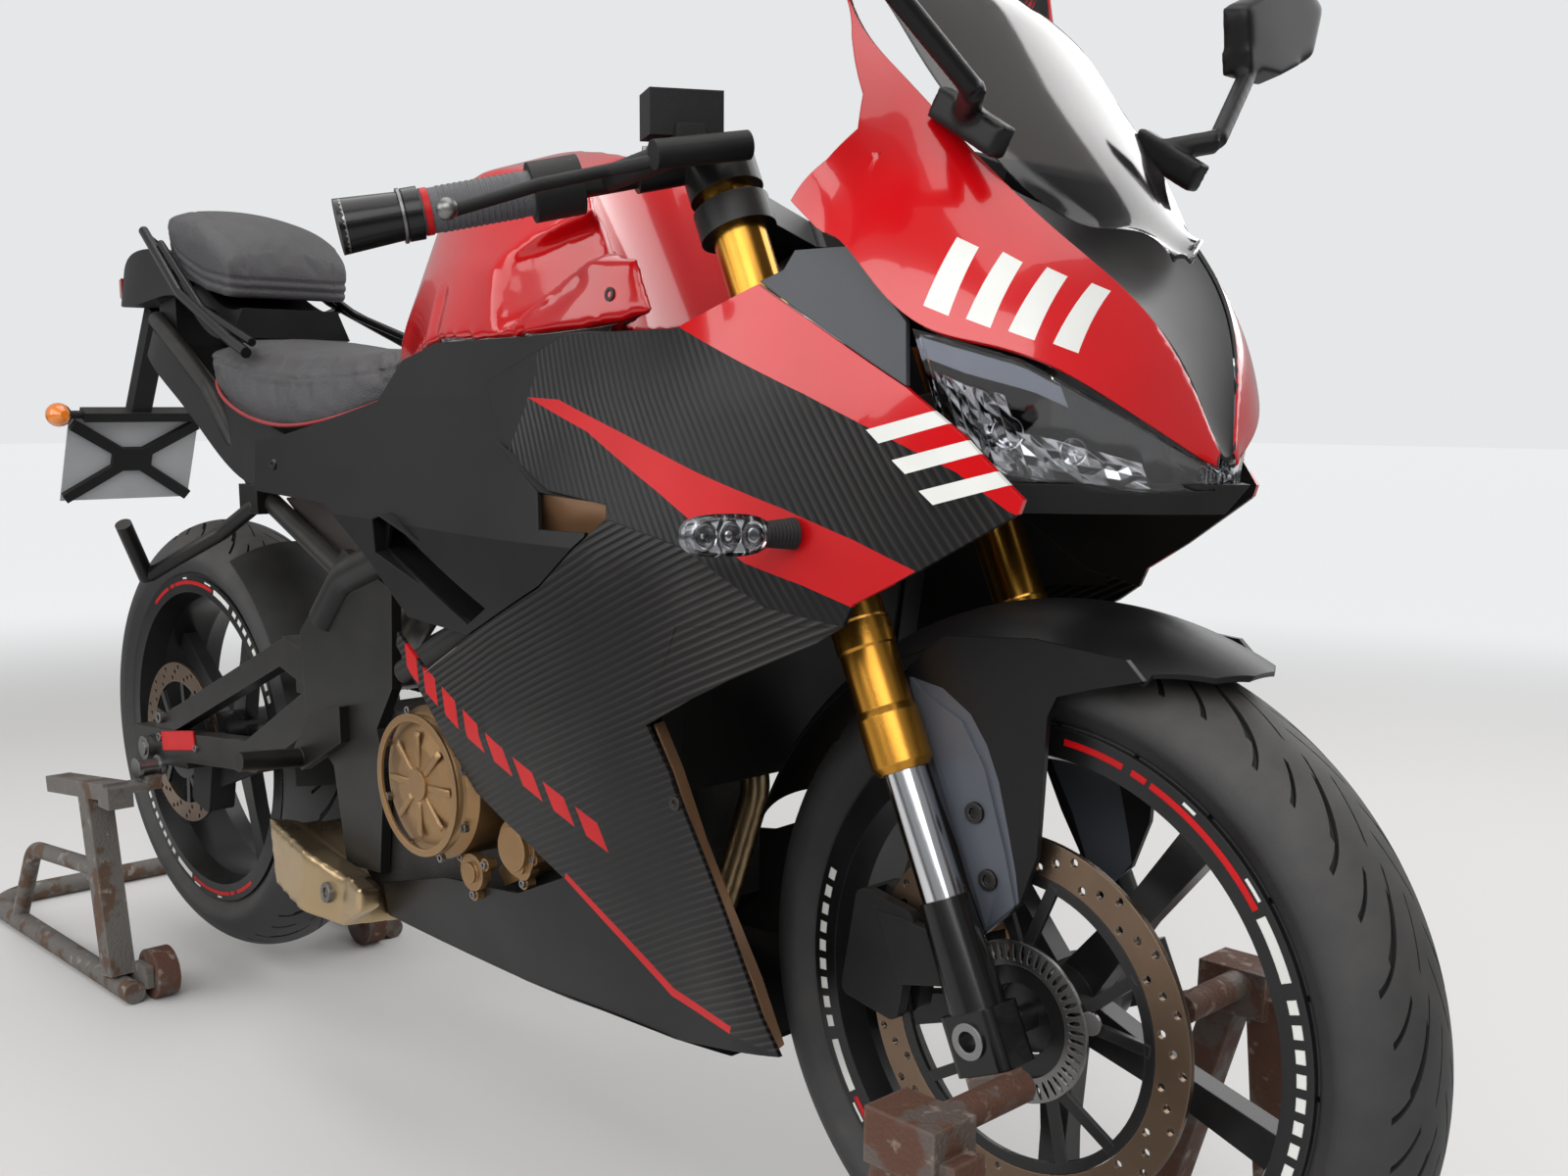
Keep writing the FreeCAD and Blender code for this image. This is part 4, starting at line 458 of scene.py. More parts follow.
def clear_part(name, colour, rough, grain=900.0, depth=0.00002):
    """Clear or tinted plastic that light passes through."""
    material = bpy.data.materials.new(name)
    tree, shader = shader_of(material)
    shader.inputs["Transmission Weight"].default_value = 1.0
    shader.inputs["IOR"].default_value = 1.45
    shader.inputs["Specular IOR Level"].default_value = 0.3
    fine = use_group(tree, GRAIN, Scale=grain, Depth=depth, Edge=0.0006)
    duller = tuple(c * 0.94 for c in colour[:3]) + (1.0,)
    skin = blend_colour(tree, fine["Patches"], colour, duller)
    tree.links.new(skin, shader.inputs["Base Color"])
    tree.links.new(spread(tree, fine["Patches"], rough, rough * 2.0), shader.inputs["Roughness"])
    tree.links.new(fine["Normal"], shader.inputs["Normal"])
    return material


PAINT["smoked_screen"] = clear_part("smoked_screen", display(112, 106, 104), 0.015)
PAINT["clear_lens"] = clear_part("clear_lens", display(238, 240, 243), 0.01, depth=0.0)

PAINT["seat_vinyl"] = finish("seat_vinyl", display(54, 53, 56), display(62, 61, 64),
                             (0.5, 0.6), grain=(620.0, 0.0009), dust=0.12)
PAINT["piping_red"] = finish("piping_red", display(150, 30, 36), display(130, 24, 30),
                             (0.45, 0.55), grain=(900.0, 0.0003))
PAINT["tyre_rubber"] = finish("tyre_rubber", display(30, 30, 32), display(38, 38, 40),
                              (0.52, 0.68), grain=(1300.0, 0.0003), edge=0.0008, dust=0.25)
# The same rubber, darker: painted shade for the inside of the tread grooves.
PAINT["groove_painted_shade"] = finish("groove_painted_shade", display(17, 17, 18), display(21, 21, 22),
                                (0.7, 0.8), grain=(1300.0, 0.0003), edge=0.0008, dust=0.0)
print("finishes", len(PAINT))

# %% [markdown]
# A dark, glossy bike needs large soft lights: each panel then shows one long pale reflection
# instead of a hard spot. Four wide area lamps do this, with a plain pale world to fill the
# shadows. The floor is one flat pale sheet. Lamps can't reach the horizon evenly, so the
# floor fades by distance into the same pale tone as the backdrop, for the camera alone.

# %% Floor and light
BACKDROP = (0.86, 0.87, 0.88, 1.0)
FLOOR_NEAR, FLOOR_FAR = (0.62, 0.61, 0.60, 1.0), (0.03, 0.03, 0.03, 1.0)
FADE_FROM, FADE_TO, FADE_SHARE = 2.4, 5.0, 0.88
WORLD_FILL, WORLD_SEEN = 0.42, 0.92
LAMPS = [
    # name, place, target, width, height, power
    ("key_light", (2.4, -2.6, 2.7), (0.1, 0, 0.6), 3.6, 2.4, 96.0),
    ("side_light", (-1.2, -3.2, 1.9), (-0.2, 0, 0.6), 4.0, 2.0, 64.0),
    ("far_light", (0.6, 3.2, 2.4), (0, 0, 0.7), 4.0, 2.2, 70.0),
    ("top_light", (0.0, 0.0, 3.4), (0, 0, 0), 4.4, 2.2, 60.0),
]


def floor_finish():
    """Pale floor that turns into the backdrop's tone with distance."""
    material = bpy.data.materials.new("floor_paint")
    tree, shader = shader_of(material)
    shader.inputs["Roughness"].default_value = 0.6
    shader.inputs["Emission Color"].default_value = BACKDROP
    reach = add_node(tree, "ShaderNodeVectorMath", operation="LENGTH")
    tree.links.new(add_node(tree, "ShaderNodeTexCoord").outputs["Object"], reach.inputs[0])
    fade = spread(tree, reach.outputs["Value"], 0.0, FADE_SHARE, FADE_FROM, FADE_TO)
    fade.node.interpolation_type = "SMOOTHSTEP"
    seen = add_node(tree, "ShaderNodeLightPath").outputs["Is Camera Ray"]
    tree.links.new(math_node(tree, "MULTIPLY", fade, seen), shader.inputs["Emission Strength"])
    tree.links.new(blend_colour(tree, fade, FLOOR_NEAR, FLOOR_FAR), shader.inputs["Base Color"])
    return material


def area_lamp(name, place, target, width, height, power):
    """A wide soft lamp that faces a target."""
    lamp_data = bpy.data.lights.new(name, "AREA")
    lamp_data.shape = "RECTANGLE"
    lamp_data.size = width
    lamp_data.size_y = height
    lamp_data.energy = power
    lamp = bpy.data.objects.new(name, lamp_data)
    aim = (Vector(target) - Vector(place)).to_track_quat("-Z", "Y")
    lamp.matrix_world = Matrix.Translation(place) @ aim.to_matrix().to_4x4()
    bpy.context.scene.collection.objects.link(lamp)


floor_mesh = bmesh.new()
bmesh.ops.create_grid(floor_mesh, x_segments=1, y_segments=1, size=30.0)
floor = keep_mesh(floor_mesh, "studio_floor")
floor.data.materials.append(floor_finish())
world = bpy.data.worlds.new("studio_world")
bpy.context.scene.world = world
world.use_nodes = True
sky = world.node_tree.nodes["Background"]
camera_sees = add_node(world.node_tree, "ShaderNodeLightPath").outputs["Is Camera Ray"]
sky_level = spread(world.node_tree, camera_sees, WORLD_FILL, WORLD_SEEN, 0.0, 1.0)
world.node_tree.links.new(sky_level, sky.inputs["Strength"])
sky.inputs["Color"].default_value = BACKDROP
for row in LAMPS:
    area_lamp(*row)
print("lamps", len(LAMPS))

# %% [markdown]
# Each hard piece of the model keeps its shape and gets its finish here. A loop over a short
# table keeps this easy to read.

# %% Finishes of the kept pieces
KEPT = {
    "bar_controls": "moulded_black", "belly_pan": "satin_black", "clutch_cover": "bronze_cast",
    "dash": "moulded_black", "engine_block": "engine_grey", "engine_covers": "bronze_cast",
    "exhaust": "silencer_champagne", "footrests": "dark_bolt", "fork_lowers": "gloss_black",
    "fork_sliders": "polished_chrome", "fork_tubes": "gold_anodised", "frame": "frame_black",
    "front_axle": "plain_steel", "front_caliper": "moulded_black",
    "front_fender": "satin_black", "front_rim": "rim_black", "front_stand": "rust_brown",
    "fuel_tank": "gloss_red", "grips": "soft_rubber", "handlebars": "frame_black",
    "headlamps": "gloss_black", "mirrors": "satin_black", "nose_centre": "satin_black",
    "nose_chin": "moulded_black", "nose_cowls": "gloss_red", "nose_sides": "slate_satin",
    "number_plate": "plate_grey", "plate_bracket": "moulded_black", "radiator": "dark_core",
    "rear_axle": "plain_steel", "rear_caliper": "moulded_black", "rear_disc": "brown_steel",
    "rear_hugger": "moulded_black", "rear_rim": "rim_black", "rear_sprocket": "dark_bolt",
    "rear_stand": "rear_stand", "shock": "plain_steel", "side_covers": "satin_black",
    "side_stand": "frame_black", "stand_rollers": "rust_brown", "swingarm": "frame_black",
    "tail_cowl": "satin_black", "tail_fins": "gloss_black", "tail_lamp": "red_lens",
    "triple_clamps": "frame_black", "turn_signals": "amber_lens",
    "windscreen": "smoked_screen", "front_disc": "brown_steel", "chain": "oiled_chain",
    "side_fairings": "side_film", "lower_fairings": "lower_film",
    "front_tyre": "tyre_rubber", "rear_tyre": "tyre_rubber",
    "rider_seat": "seat_vinyl", "pillion_seat": "seat_vinyl",
}
for name, node in sorted(NODES.items()):
    if not node.material_slots:
        node.data.materials.append(None)
    for material_slot in node.material_slots:
        material_slot.material = PAINT[KEPT[name]]
print("nodes with a finish", len(KEPT))

# %% [markdown]
# Red bands cross the dark side panels with knife-sharp edges. A mask in the shader could draw
# them, but an edge that is cut into the mesh stays sharp however the model is exported. So a
# merged copy of the panel is cut by a plane through each side of the band, and the faces
# inside the outline get the second finish.

# %% Panels with painted bands
def merged_copy(node_name):
    """The node's triangles as one closed mesh."""
    bm = bmesh.new()
    bm.from_mesh(NODES[node_name].data)
    bmesh.ops.remove_doubles(bm, verts=bm.verts, dist=0.00002)
    bmesh.ops.recalc_face_normals(bm, faces=bm.faces)
    return bm


def inside(outline, x, z):
    """Whether a point of the side view lies inside a closed outline."""
    odd = False
    for (x1, z1), (x2, z2) in zip(outline, outline[1:] + outline[:1]):
        if (z1 > z) != (z2 > z) and x < (x2 - x1) * (z - z1) / (z2 - z1) + x1:
            odd = not odd
    return odd


def cut_outline(bm, outline):
    """Cut the mesh along each side of an outline of the side view, in metres."""
    for (x1, z1), (x2, z2) in zip(outline, outline[1:] + outline[:1]):
        low_x, high_x = min(x1, x2) - 0.002, max(x1, x2) + 0.002
        low_z, high_z = min(z1, z2) - 0.002, max(z1, z2) + 0.002
        near = []
        for face in bm.faces:
            xs = [v.co.x for v in face.verts]
            zs = [v.co.z for v in face.verts]
            if max(xs) > low_x and min(xs) < high_x and max(zs) > low_z and min(zs) < high_z:
                near.append(face)
        parts = set(near)
        for face in near:
            parts.update(face.edges)
            parts.update(face.verts)
        across = Vector((z1 - z2, 0.0, x2 - x1)).normalized()
        bmesh.ops.bisect_plane(bm, geom=list(parts), dist=0.00001,
                               plane_co=(x1, 0.0, z1), plane_no=across)


def sharpen(bm, degrees=32.0):
    """Shade smooth, with sharp edges where faces meet at more than an angle."""
    limit = math.radians(degrees)
    for face in bm.faces:
        face.smooth = True
    for edge in bm.edges:
        edge.smooth = len(edge.link_faces) == 2 and edge.calc_face_angle(0.0) < limit


def painted(node_name, base, bands, piece_name, inner=True):
    """A copy of a panel whose faces inside each outline get another finish."""
    bm = merged_copy(node_name)
    outlines = [[(x / 1000.0, z / 1000.0) for x, z in outline] for outline, _ in bands]
    for outline in outlines:
        cut_outline(bm, outline)
    for face in bm.faces:
        middle = face.calc_center_median()
        for number, outline in enumerate(outlines, start=1):
            if inside(outline, middle.x, middle.z):
                face.material_index = number
        if inner and face.normal.y * middle.y < -0.2 * abs(middle.y):
            face.material_index = len(bands) + 1
    sharpen(bm)
    piece = keep_mesh(bm, piece_name)
    for finish_name in [base] + [finish_name for _, finish_name in bands] + ["moulded_black"]:
        piece.data.materials.append(PAINT[finish_name])
    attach(piece, NODES[node_name]["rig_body"])
    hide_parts(node_name)
    print(piece_name, "faces", len(piece.data.polygons))
    return piece


UPPER_BAND = [(446, 852), (528, 882), (590, 862), (663, 812), (706, 780), (746, 733), (741, 722),
              (733, 726), (700, 750), (646, 774), (583, 801)]
MIDDLE_BAND = [(264, 799), (312, 797), (400, 772), (490, 744), (572, 721), (628, 702),
               (673, 683), (628, 655), (590, 668), (541, 681), (450, 728), (357, 772)]
SMOOTH_REAR = [(180, 700), (180, 860), (250, 860), (268, 820), (262, 790), (240, 745)]
SIDE_BARS = [
    [(692, 792), (699, 783), (644, 768), (634, 777)],
    [(711, 772), (718, 763), (664, 748), (654, 757)],
    [(729, 752), (736, 743), (684, 728), (674, 737)],
]
painted("side_fairings", "side_film",
        [(SMOOTH_REAR, "satin_black"), (UPPER_BAND, "gloss_red"), (MIDDLE_BAND, "decal_red")]
        + [(bar, "decal_white") for bar in SIDE_BARS], "side_panels")
LOWER_LINE = [(292, 388), (412, 309), (484, 297), (480, 289), (406, 300), (288, 382)]
BELLY_PART = [(-110, 300), (-110, 200), (560, 200), (540, 287), (480, 289), (406, 300),
              (288, 382), (200, 345), (60, 326)]
DASH_FROM, DASH_TO, DASH_COUNT = (52, 553), (372, 430), 8
dashes = []
for number in range(DASH_COUNT):
    x = DASH_FROM[0] + (DASH_TO[0] - DASH_FROM[0]) * number / DASH_COUNT
    z = DASH_FROM[1] + (DASH_TO[1] - DASH_FROM[1]) * number / DASH_COUNT
    dashes.append([(x, z + 14), (x + 26, z + 4), (x + 32, z - 22), (x + 6, z - 12)])
painted("lower_fairings", "lower_film",
        [(BELLY_PART, "satin_black"), (LOWER_LINE, "decal_red")]
        + [(dash, "decal_red") for dash in dashes], "lower_panels")

# %% [markdown]
# The red nose has a row of slanted white bars, tapered to one end. They are cut into a copy
# of the nose in the same way, from four corners each in the side view. The fender's side
# plate is a lighter satin panel, so it is cut out of the fender's black by its outline too.

# %% Nose bars and fender plate
NOSE_BARS = [
    [(676, 903), (689, 896), (687, 851), (671, 858)],
    [(701, 893), (712, 886), (711, 843), (697, 849)],
    [(723, 883), (733, 877), (733, 835), (720, 841)],
    [(743, 873), (751, 868), (752, 827), (741, 833)],
]
painted("nose_cowls", "gloss_red", [(bar, "decal_white") for bar in NOSE_BARS], "nose_shells")
FENDER_PLATE = [(584, 590), (621, 584), (648, 568), (664, 547), (676, 521), (686, 486),
                (694, 456), (698, 434), (672, 400), (655, 430), (640, 465), (620, 500),
                (604, 532), (590, 565)]
painted("front_fender", "satin_black", [(FENDER_PLATE, "fender_satin")], "front_fender_skin",
        False)

# %% [markdown]
# A road tyre is a round body with hooked grooves that sweep from the crown to the shoulder.
# Cutting each groove with a boolean would be slow and leave rough edges. Instead a profile is
# spun round the axle, and each ring of points is then turned a little by its distance from
# the crown. The shape stays the same, but its columns now follow the sweep of a groove, so
# a groove is only a few faces that are inset and pushed down.

# %% Tyres with cut tread
def spun(profile, centre, steps, angle=math.tau):
    """A profile of (y, radius) points spun round an axle along Y."""
    bm = bmesh.new()
    ring = [bm.verts.new(centre + Vector((radius, y, 0.0))) for y, radius in profile]
    sides = [bm.edges.new(pair) for pair in zip(ring, ring[1:])]
    full = angle >= math.tau - 0.0001
    bmesh.ops.spin(bm, geom=ring + sides, cent=centre, axis=(0.0, 1.0, 0.0), dvec=(0, 0, 0),
                   angle=angle, steps=steps, use_merge=full, use_normal_flip=False,
                   use_duplicate=False)
    return bm


TREAD_PITCHES = 21
PITCH_COLUMNS = 16
SWEEP = math.radians(24.0)
GROOVES = [
    # column in the pitch, from and to as shares of the half tread
    (0, 0.16, 0.80),
    (1, 0.30, 0.62),
    (9, 0.46, 0.74),
    (5, 0.02, 0.22),
]


def tyre_profile(radius, half, rim_half):
    """Half of the section from the crown to the bead as (y, radius), inside the solid tyre."""
    shoulder = radius - half * 0.56
    reach = half * 0.95
    curve = ((radius - shoulder) ** 2 + reach ** 2) / (2.0 * (radius - shoulder))
    limit = math.asin(reach / curve)
    points = []
    for step in range(22):
        lean = limit * step / 21.0
        points.append((curve * math.sin(lean), radius - curve * (1.0 - math.cos(lean))))
    bead_half = rim_half - 0.005
    wall = [(0.2, 0.992), (0.4, 0.998), (0.55, 0.99), (0.6, 0.975), (0.64, 0.985), (0.8, 0.95),
            (0.9, 0.915), (0.93, 0.93)]
    flange = 0.2285
    for share, bulge in wall:
        width = min(half * bulge, half * 0.998)
        straight = half + (bead_half - half) * max(0.0, (share - 0.45) / 0.55)
        points.append((min(width, straight + 0.0005), shoulder + (flange - shoulder) * share))
    points.append((bead_half, flange))
    points.append((bead_half, 0.217))
    return points, reach


def treaded_tyre(piece_name, node_name, centre, radius, half, rim_half):
    """A tyre with swept grooves; half is half its width, rim_half half the rim's."""
    right_half, reach = tyre_profile(radius, half, rim_half)
    profile = [(-y, r) for y, r in reversed(right_half[1:])] + right_half
    columns = TREAD_PITCHES * PITCH_COLUMNS
    bm = spun(profile, centre, columns)
    bmesh.ops.remove_doubles(bm, verts=bm.verts, dist=0.00001)
    bmesh.ops.recalc_face_normals(bm, faces=bm.faces)
    marked = []
    for face in bm.faces:
        middle = face.calc_center_median() - centre
        share = abs(middle.y) / reach
        if share > 1.0:
            continue
        column = int(math.degrees(math.atan2(middle.z, middle.x)) % 360.0 * columns / 360.0)
        if middle.y > 0:
            column += PITCH_COLUMNS // 2
        column %= PITCH_COLUMNS
        if any(column == start and low < share < high for start, low, high in GROOVES):
            marked.append(face)
    for vert in bm.verts:
        share = min(abs(vert.co.y) / reach, 1.0)
        lean = Matrix.Rotation(-SWEEP * (1.0 - share) ** 2, 3, "Y")
        vert.co = centre + lean @ (vert.co - centre)
    cut = bmesh.ops.inset_region(bm, faces=marked, thickness=0.0007, depth=-0.0038,
                                 use_even_offset=True, use_boundary=True)
    # Groove faces take the darker rubber, painted shade in the recesses.
    for face in marked + cut["faces"]:
        face.material_index = 1
    for face in bm.faces:
        face.smooth = True
    sharpen(bm, 40.0)
    piece = keep_mesh(bm, piece_name)
    piece.data.materials.append(PAINT["tyre_rubber"])
    piece.data.materials.append(PAINT["groove_painted_shade"])
    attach(piece, NODES[node_name]["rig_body"])
    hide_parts(node_name)
    print(piece_name, "faces", len(piece.data.polygons))
    return piece


treaded_tyre("front_tyre_treaded", "front_tyre", FRONT_AXLE, 0.293, 0.055, 0.046)
treaded_tyre("rear_tyre_treaded", "rear_tyre", REAR_AXLE, 0.300, 0.070, 0.061)

# %% [markdown]
# The rims carry thin tape: a red arc with small gaps over the upper front and white dashes
# below it. Tape is a short edge spun through part of a turn and given a fifth of a
# millimetre of thickness, so that it shows as a real edge on the rim.

# %% Rim tape
RIM_TAPE = [
    # from and to in degrees above the level, inner and outer radius, finish
    (85.0, 71.5, 0.2145, 0.2195, "decal_red"),
    (69.5, 66.0, 0.2145, 0.2195, "decal_red"),
    (65.0, 35.5, 0.2145, 0.2195, "decal_red"),
    (34.0, 22.0, 0.2140, 0.2215, "decal_white"),
    (58.0, 55.0, 0.2215, 0.2240, "decal_white"),
    (41.0, 36.5, 0.2215, 0.2240, "decal_white"),
]
for dash in range(9):
    RIM_TAPE.append((19.0 - dash * 4.4, 16.4 - dash * 4.4, 0.2145, 0.2215, "decal_white"))


def rim_tape(piece_name, centre, face_y, body, finish_name, turn_by):
    """All the tape of one colour on both sides of a rim."""
    bm = bmesh.new()
    for start, stop, low, high, name in RIM_TAPE:
        if name != finish_name:
            continue
        for half_turn in (0.0, 180.0):
            for side in (-1.0, 1.0):
                edge = [bm.verts.new(centre + Vector((r, side * face_y, 0.0)))
                        for r in (low, high)]
                line = bm.edges.new(edge)
                begin = math.radians(start + half_turn + turn_by)
                bmesh.ops.rotate(bm, verts=edge, cent=centre,
                                 matrix=Matrix.Rotation(-begin, 3, "Y"))
                bmesh.ops.spin(bm, geom=edge + [line], cent=centre, axis=(0.0, 1.0, 0.0),
                               dvec=(0, 0, 0), angle=math.radians(start - stop),
                               steps=max(2, int((start - stop) / 2.0)), use_duplicate=False)
    bmesh.ops.recalc_face_normals(bm, faces=bm.faces)
    bmesh.ops.solidify(bm, geom=list(bm.faces), thickness=0.0003)
    bmesh.ops.recalc_face_normals(bm, faces=bm.faces)
    piece = keep_mesh(bm, piece_name)
    piece.data.materials.append(PAINT[finish_name])
    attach(piece, body)
    print(piece_name, "faces", len(piece.data.polygons))


rim_tape("front_rim_red_tape", FRONT_AXLE, 0.0463, "front_wheel", "decal_red", 0.0)
rim_tape("front_rim_white_tape", FRONT_AXLE, 0.0463, "front_wheel", "decal_white", 0.0)
rim_tape("rear_rim_red_tape", REAR_AXLE, 0.0613, "rear_wheel", "decal_red", 40.0)
rim_tape("rear_rim_white_tape", REAR_AXLE, 0.0613, "rear_wheel", "decal_white", 40.0)

# %% [markdown]
# A brake disc is a turned steel band with rows of small holes, carried on a black cast spider.
# The holes let light through, so they are real holes here. Each is one small drum, all drums
# are one mesh, and a Boolean modifier takes them out of the band in one go. The slotted ring
# at the hub is a thin band with its slots taken out in the same way.

# %% Brake discs
def drum(bm, centre, radius, depth, sides, lean=0.0, box=None):
    """Add one cutter along Y: a drum, or a slot if box gives its half sizes."""
    made = bmesh.ops.create_cone(bm, cap_ends=True, segments=sides, radius1=radius,
                                 radius2=radius, depth=depth)
    bmesh.ops.rotate(bm, verts=made["verts"], cent=(0, 0, 0),
                     matrix=Matrix.Rotation(math.radians(90.0), 3, "X"))
    if box:
        bmesh.ops.scale(bm, verts=made["verts"], vec=(box[0] / radius, 1.0, box[1] / radius))
    bmesh.ops.rotate(bm, verts=made["verts"], cent=(0, 0, 0),
                     matrix=Matrix.Rotation(-lean, 3, "Y"))
    bmesh.ops.translate(bm, verts=made["verts"], vec=centre)
    return made["verts"]


def polar(centre, radius, degrees, y):
    """A point at an angle above the level round an axle along Y."""
    angle = math.radians(degrees)
    return centre + Vector((radius * math.cos(angle), y, radius * math.sin(angle)))


def evaluated_mesh(piece):
    """The piece's mesh with its modifiers done."""
    graph = bpy.context.evaluated_depsgraph_get()
    return bpy.data.meshes.new_from_object(piece.evaluated_get(graph))


def apply_modifiers(piece):
    """Make the modifiers' result the piece's own mesh."""
    mesh = evaluated_mesh(piece)
    piece.modifiers.clear()
    piece.data = mesh


def subtract(piece, cutter):
    """Take a cutter mesh out of a piece for good."""
    modifier = piece.modifiers.new("holes", "BOOLEAN")
    modifier.object = cutter
    modifier.operation = "DIFFERENCE"
    modifier.solver = "EXACT"
    apply_modifiers(piece)
    bpy.data.objects.remove(cutter)


def flat_ring(outer, inner, centre, y, thick, steps=120):
    """A flat washer round an axle along Y."""
    profile = [(y - thick / 2, inner), (y - thick / 2, outer), (y + thick / 2, outer),
               (y + thick / 2, inner), (y - thick / 2, inner)]
    bm = spun(profile, centre, steps)
    bmesh.ops.remove_doubles(bm, verts=bm.verts, dist=0.00001)
    bmesh.ops.recalc_face_normals(bm, faces=bm.faces)
    return bm


DISC_ROWS = [
    # radius share of the band, degrees from the group's start
    (0.22, 0.0), (0.50, 6.0), (0.78, 12.0),
]


def drilled_disc(piece_name, centre, y, outer, band, groups, body):
    """A flat steel band with slanting rows of small holes."""
    disc_mesh = flat_ring(outer, outer - band, centre, y, 0.0044)
    disc = keep_mesh(disc_mesh, piece_name)
    holes = bmesh.new()
    for group in range(groups):
        for share, offset in DISC_ROWS:
            angle = 360.0 / groups * group + offset
            drum(holes, polar(centre, outer - band * share, angle, y), 0.0032, 0.02, 14)
    subtract(disc, keep_mesh(holes, piece_name + "_cutter"))
    disc.data.materials.clear()
    disc.data.materials.append(PAINT["brown_steel"])
    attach(disc, body)
    print(piece_name, "faces", len(disc.data.polygons))
    return disc


def cast_arms(bm, centre, y, inner, outer, count, start, thick):
    """Pairs of straight, slanted arms from a hub ring to a disc band."""
    for number in range(count):
        angle = start + 360.0 / count * number
        for fork in (-9.0, 9.0):
            made = bmesh.ops.create_cube(bm, size=1.0)["verts"]
            length = (outer - inner) * 1.06
            bmesh.ops.scale(bm, verts=made, vec=(length, thick, 0.009))
            bmesh.ops.rotate(bm, verts=made, cent=(0, 0, 0),
                             matrix=Matrix.Rotation(math.radians(-fork * 1.5), 3, "Y"))
            bmesh.ops.translate(bm, verts=made, vec=((outer + inner) / 2, 0.0, 0.0))
            bmesh.ops.rotate(bm, verts=made, cent=(0, 0, 0),
                             matrix=Matrix.Rotation(-math.radians(angle + fork), 3, "Y"))
            bmesh.ops.translate(bm, verts=made, vec=centre + Vector((0.0, y, 0.0)))


front_band = drilled_disc("front_disc_band", FRONT_AXLE, -0.060, 0.146, 0.028, 20, "front_wheel")
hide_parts("front_disc")
spider = flat_ring(0.052, 0.029, FRONT_AXLE, -0.056, 0.0115, 60)
join_mesh(spider, flat_ring(0.1176, 0.109, FRONT_AXLE, -0.060, 0.0040, 90))
cast_arms(spider, FRONT_AXLE, -0.060, 0.046, 0.112, 5, 18.0, 0.0042)
spider_piece = keep_mesh(spider, "front_disc_spider")
spider_piece.data.materials.append(PAINT["rim_black"])
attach(spider_piece, "front_wheel")

TONE_FACE = -0.0638
tone = keep_mesh(flat_ring(0.063, 0.044, FRONT_AXLE, TONE_FACE, 0.0024), "front_speed_ring")
slots = bmesh.new()
for number in range(50):
    lean = math.radians(7.2 * number)
    drum(slots, polar(FRONT_AXLE, 0.0545, 7.2 * number, TONE_FACE), 0.002, 0.01, 8, lean,
         (0.0068, 0.0017))
subtract(tone, keep_mesh(slots, "tone_cutter"))
tabs = bmesh.new()
tabs.from_mesh(tone.data)
for number in range(3):
    drum(tabs, polar(FRONT_AXLE, 0.067, 120.0 * number + 15.0, TONE_FACE), 0.009, 0.0022, 24)
tabs.to_mesh(tone.data)
tabs.free()
tone.data.materials.clear()
tone.data.materials.append(PAINT["plain_steel"])
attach(tone, "front_wheel")

rear_band = drilled_disc("rear_disc_band", REAR_AXLE, -0.088, 0.110, 0.026, 16, "rear_wheel")
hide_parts("rear_disc")
rear_spider = flat_ring(0.050, 0.029, REAR_AXLE, -0.0825, 0.0165, 60)
cast_arms(rear_spider, REAR_AXLE, -0.088, 0.044, 0.088, 5, 0.0, 0.0042)
rear_spider_piece = keep_mesh(rear_spider, "rear_disc_spider")
rear_spider_piece.data.materials.append(PAINT["rim_black"])
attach(rear_spider_piece, "rear_wheel")
print("speed ring faces", len(tone.data.polygons))

# %% [markdown]
# Both seats are foam under vinyl, so they bulge between their edges and carry sewn lines. A
# subdivided box would look inflated everywhere. Blender's cloth, filled with a little pressure
# and held at the base, gives the tight top and soft shoulders of a real pad. The result is
# capped and applied, and the sewn lines are pressed in afterwards.

# %% Padded seats
def press_line(piece, line_height, depth, width):
    """Press a sewn line into a pad; line_height gives the line's height at a point."""
    for vert in piece.data.vertices:
        off = (vert.co.z - line_height(vert.co)) / width
        if abs(off) < 3.0:
            vert.co -= vert.normal * depth * math.exp(-off * off)


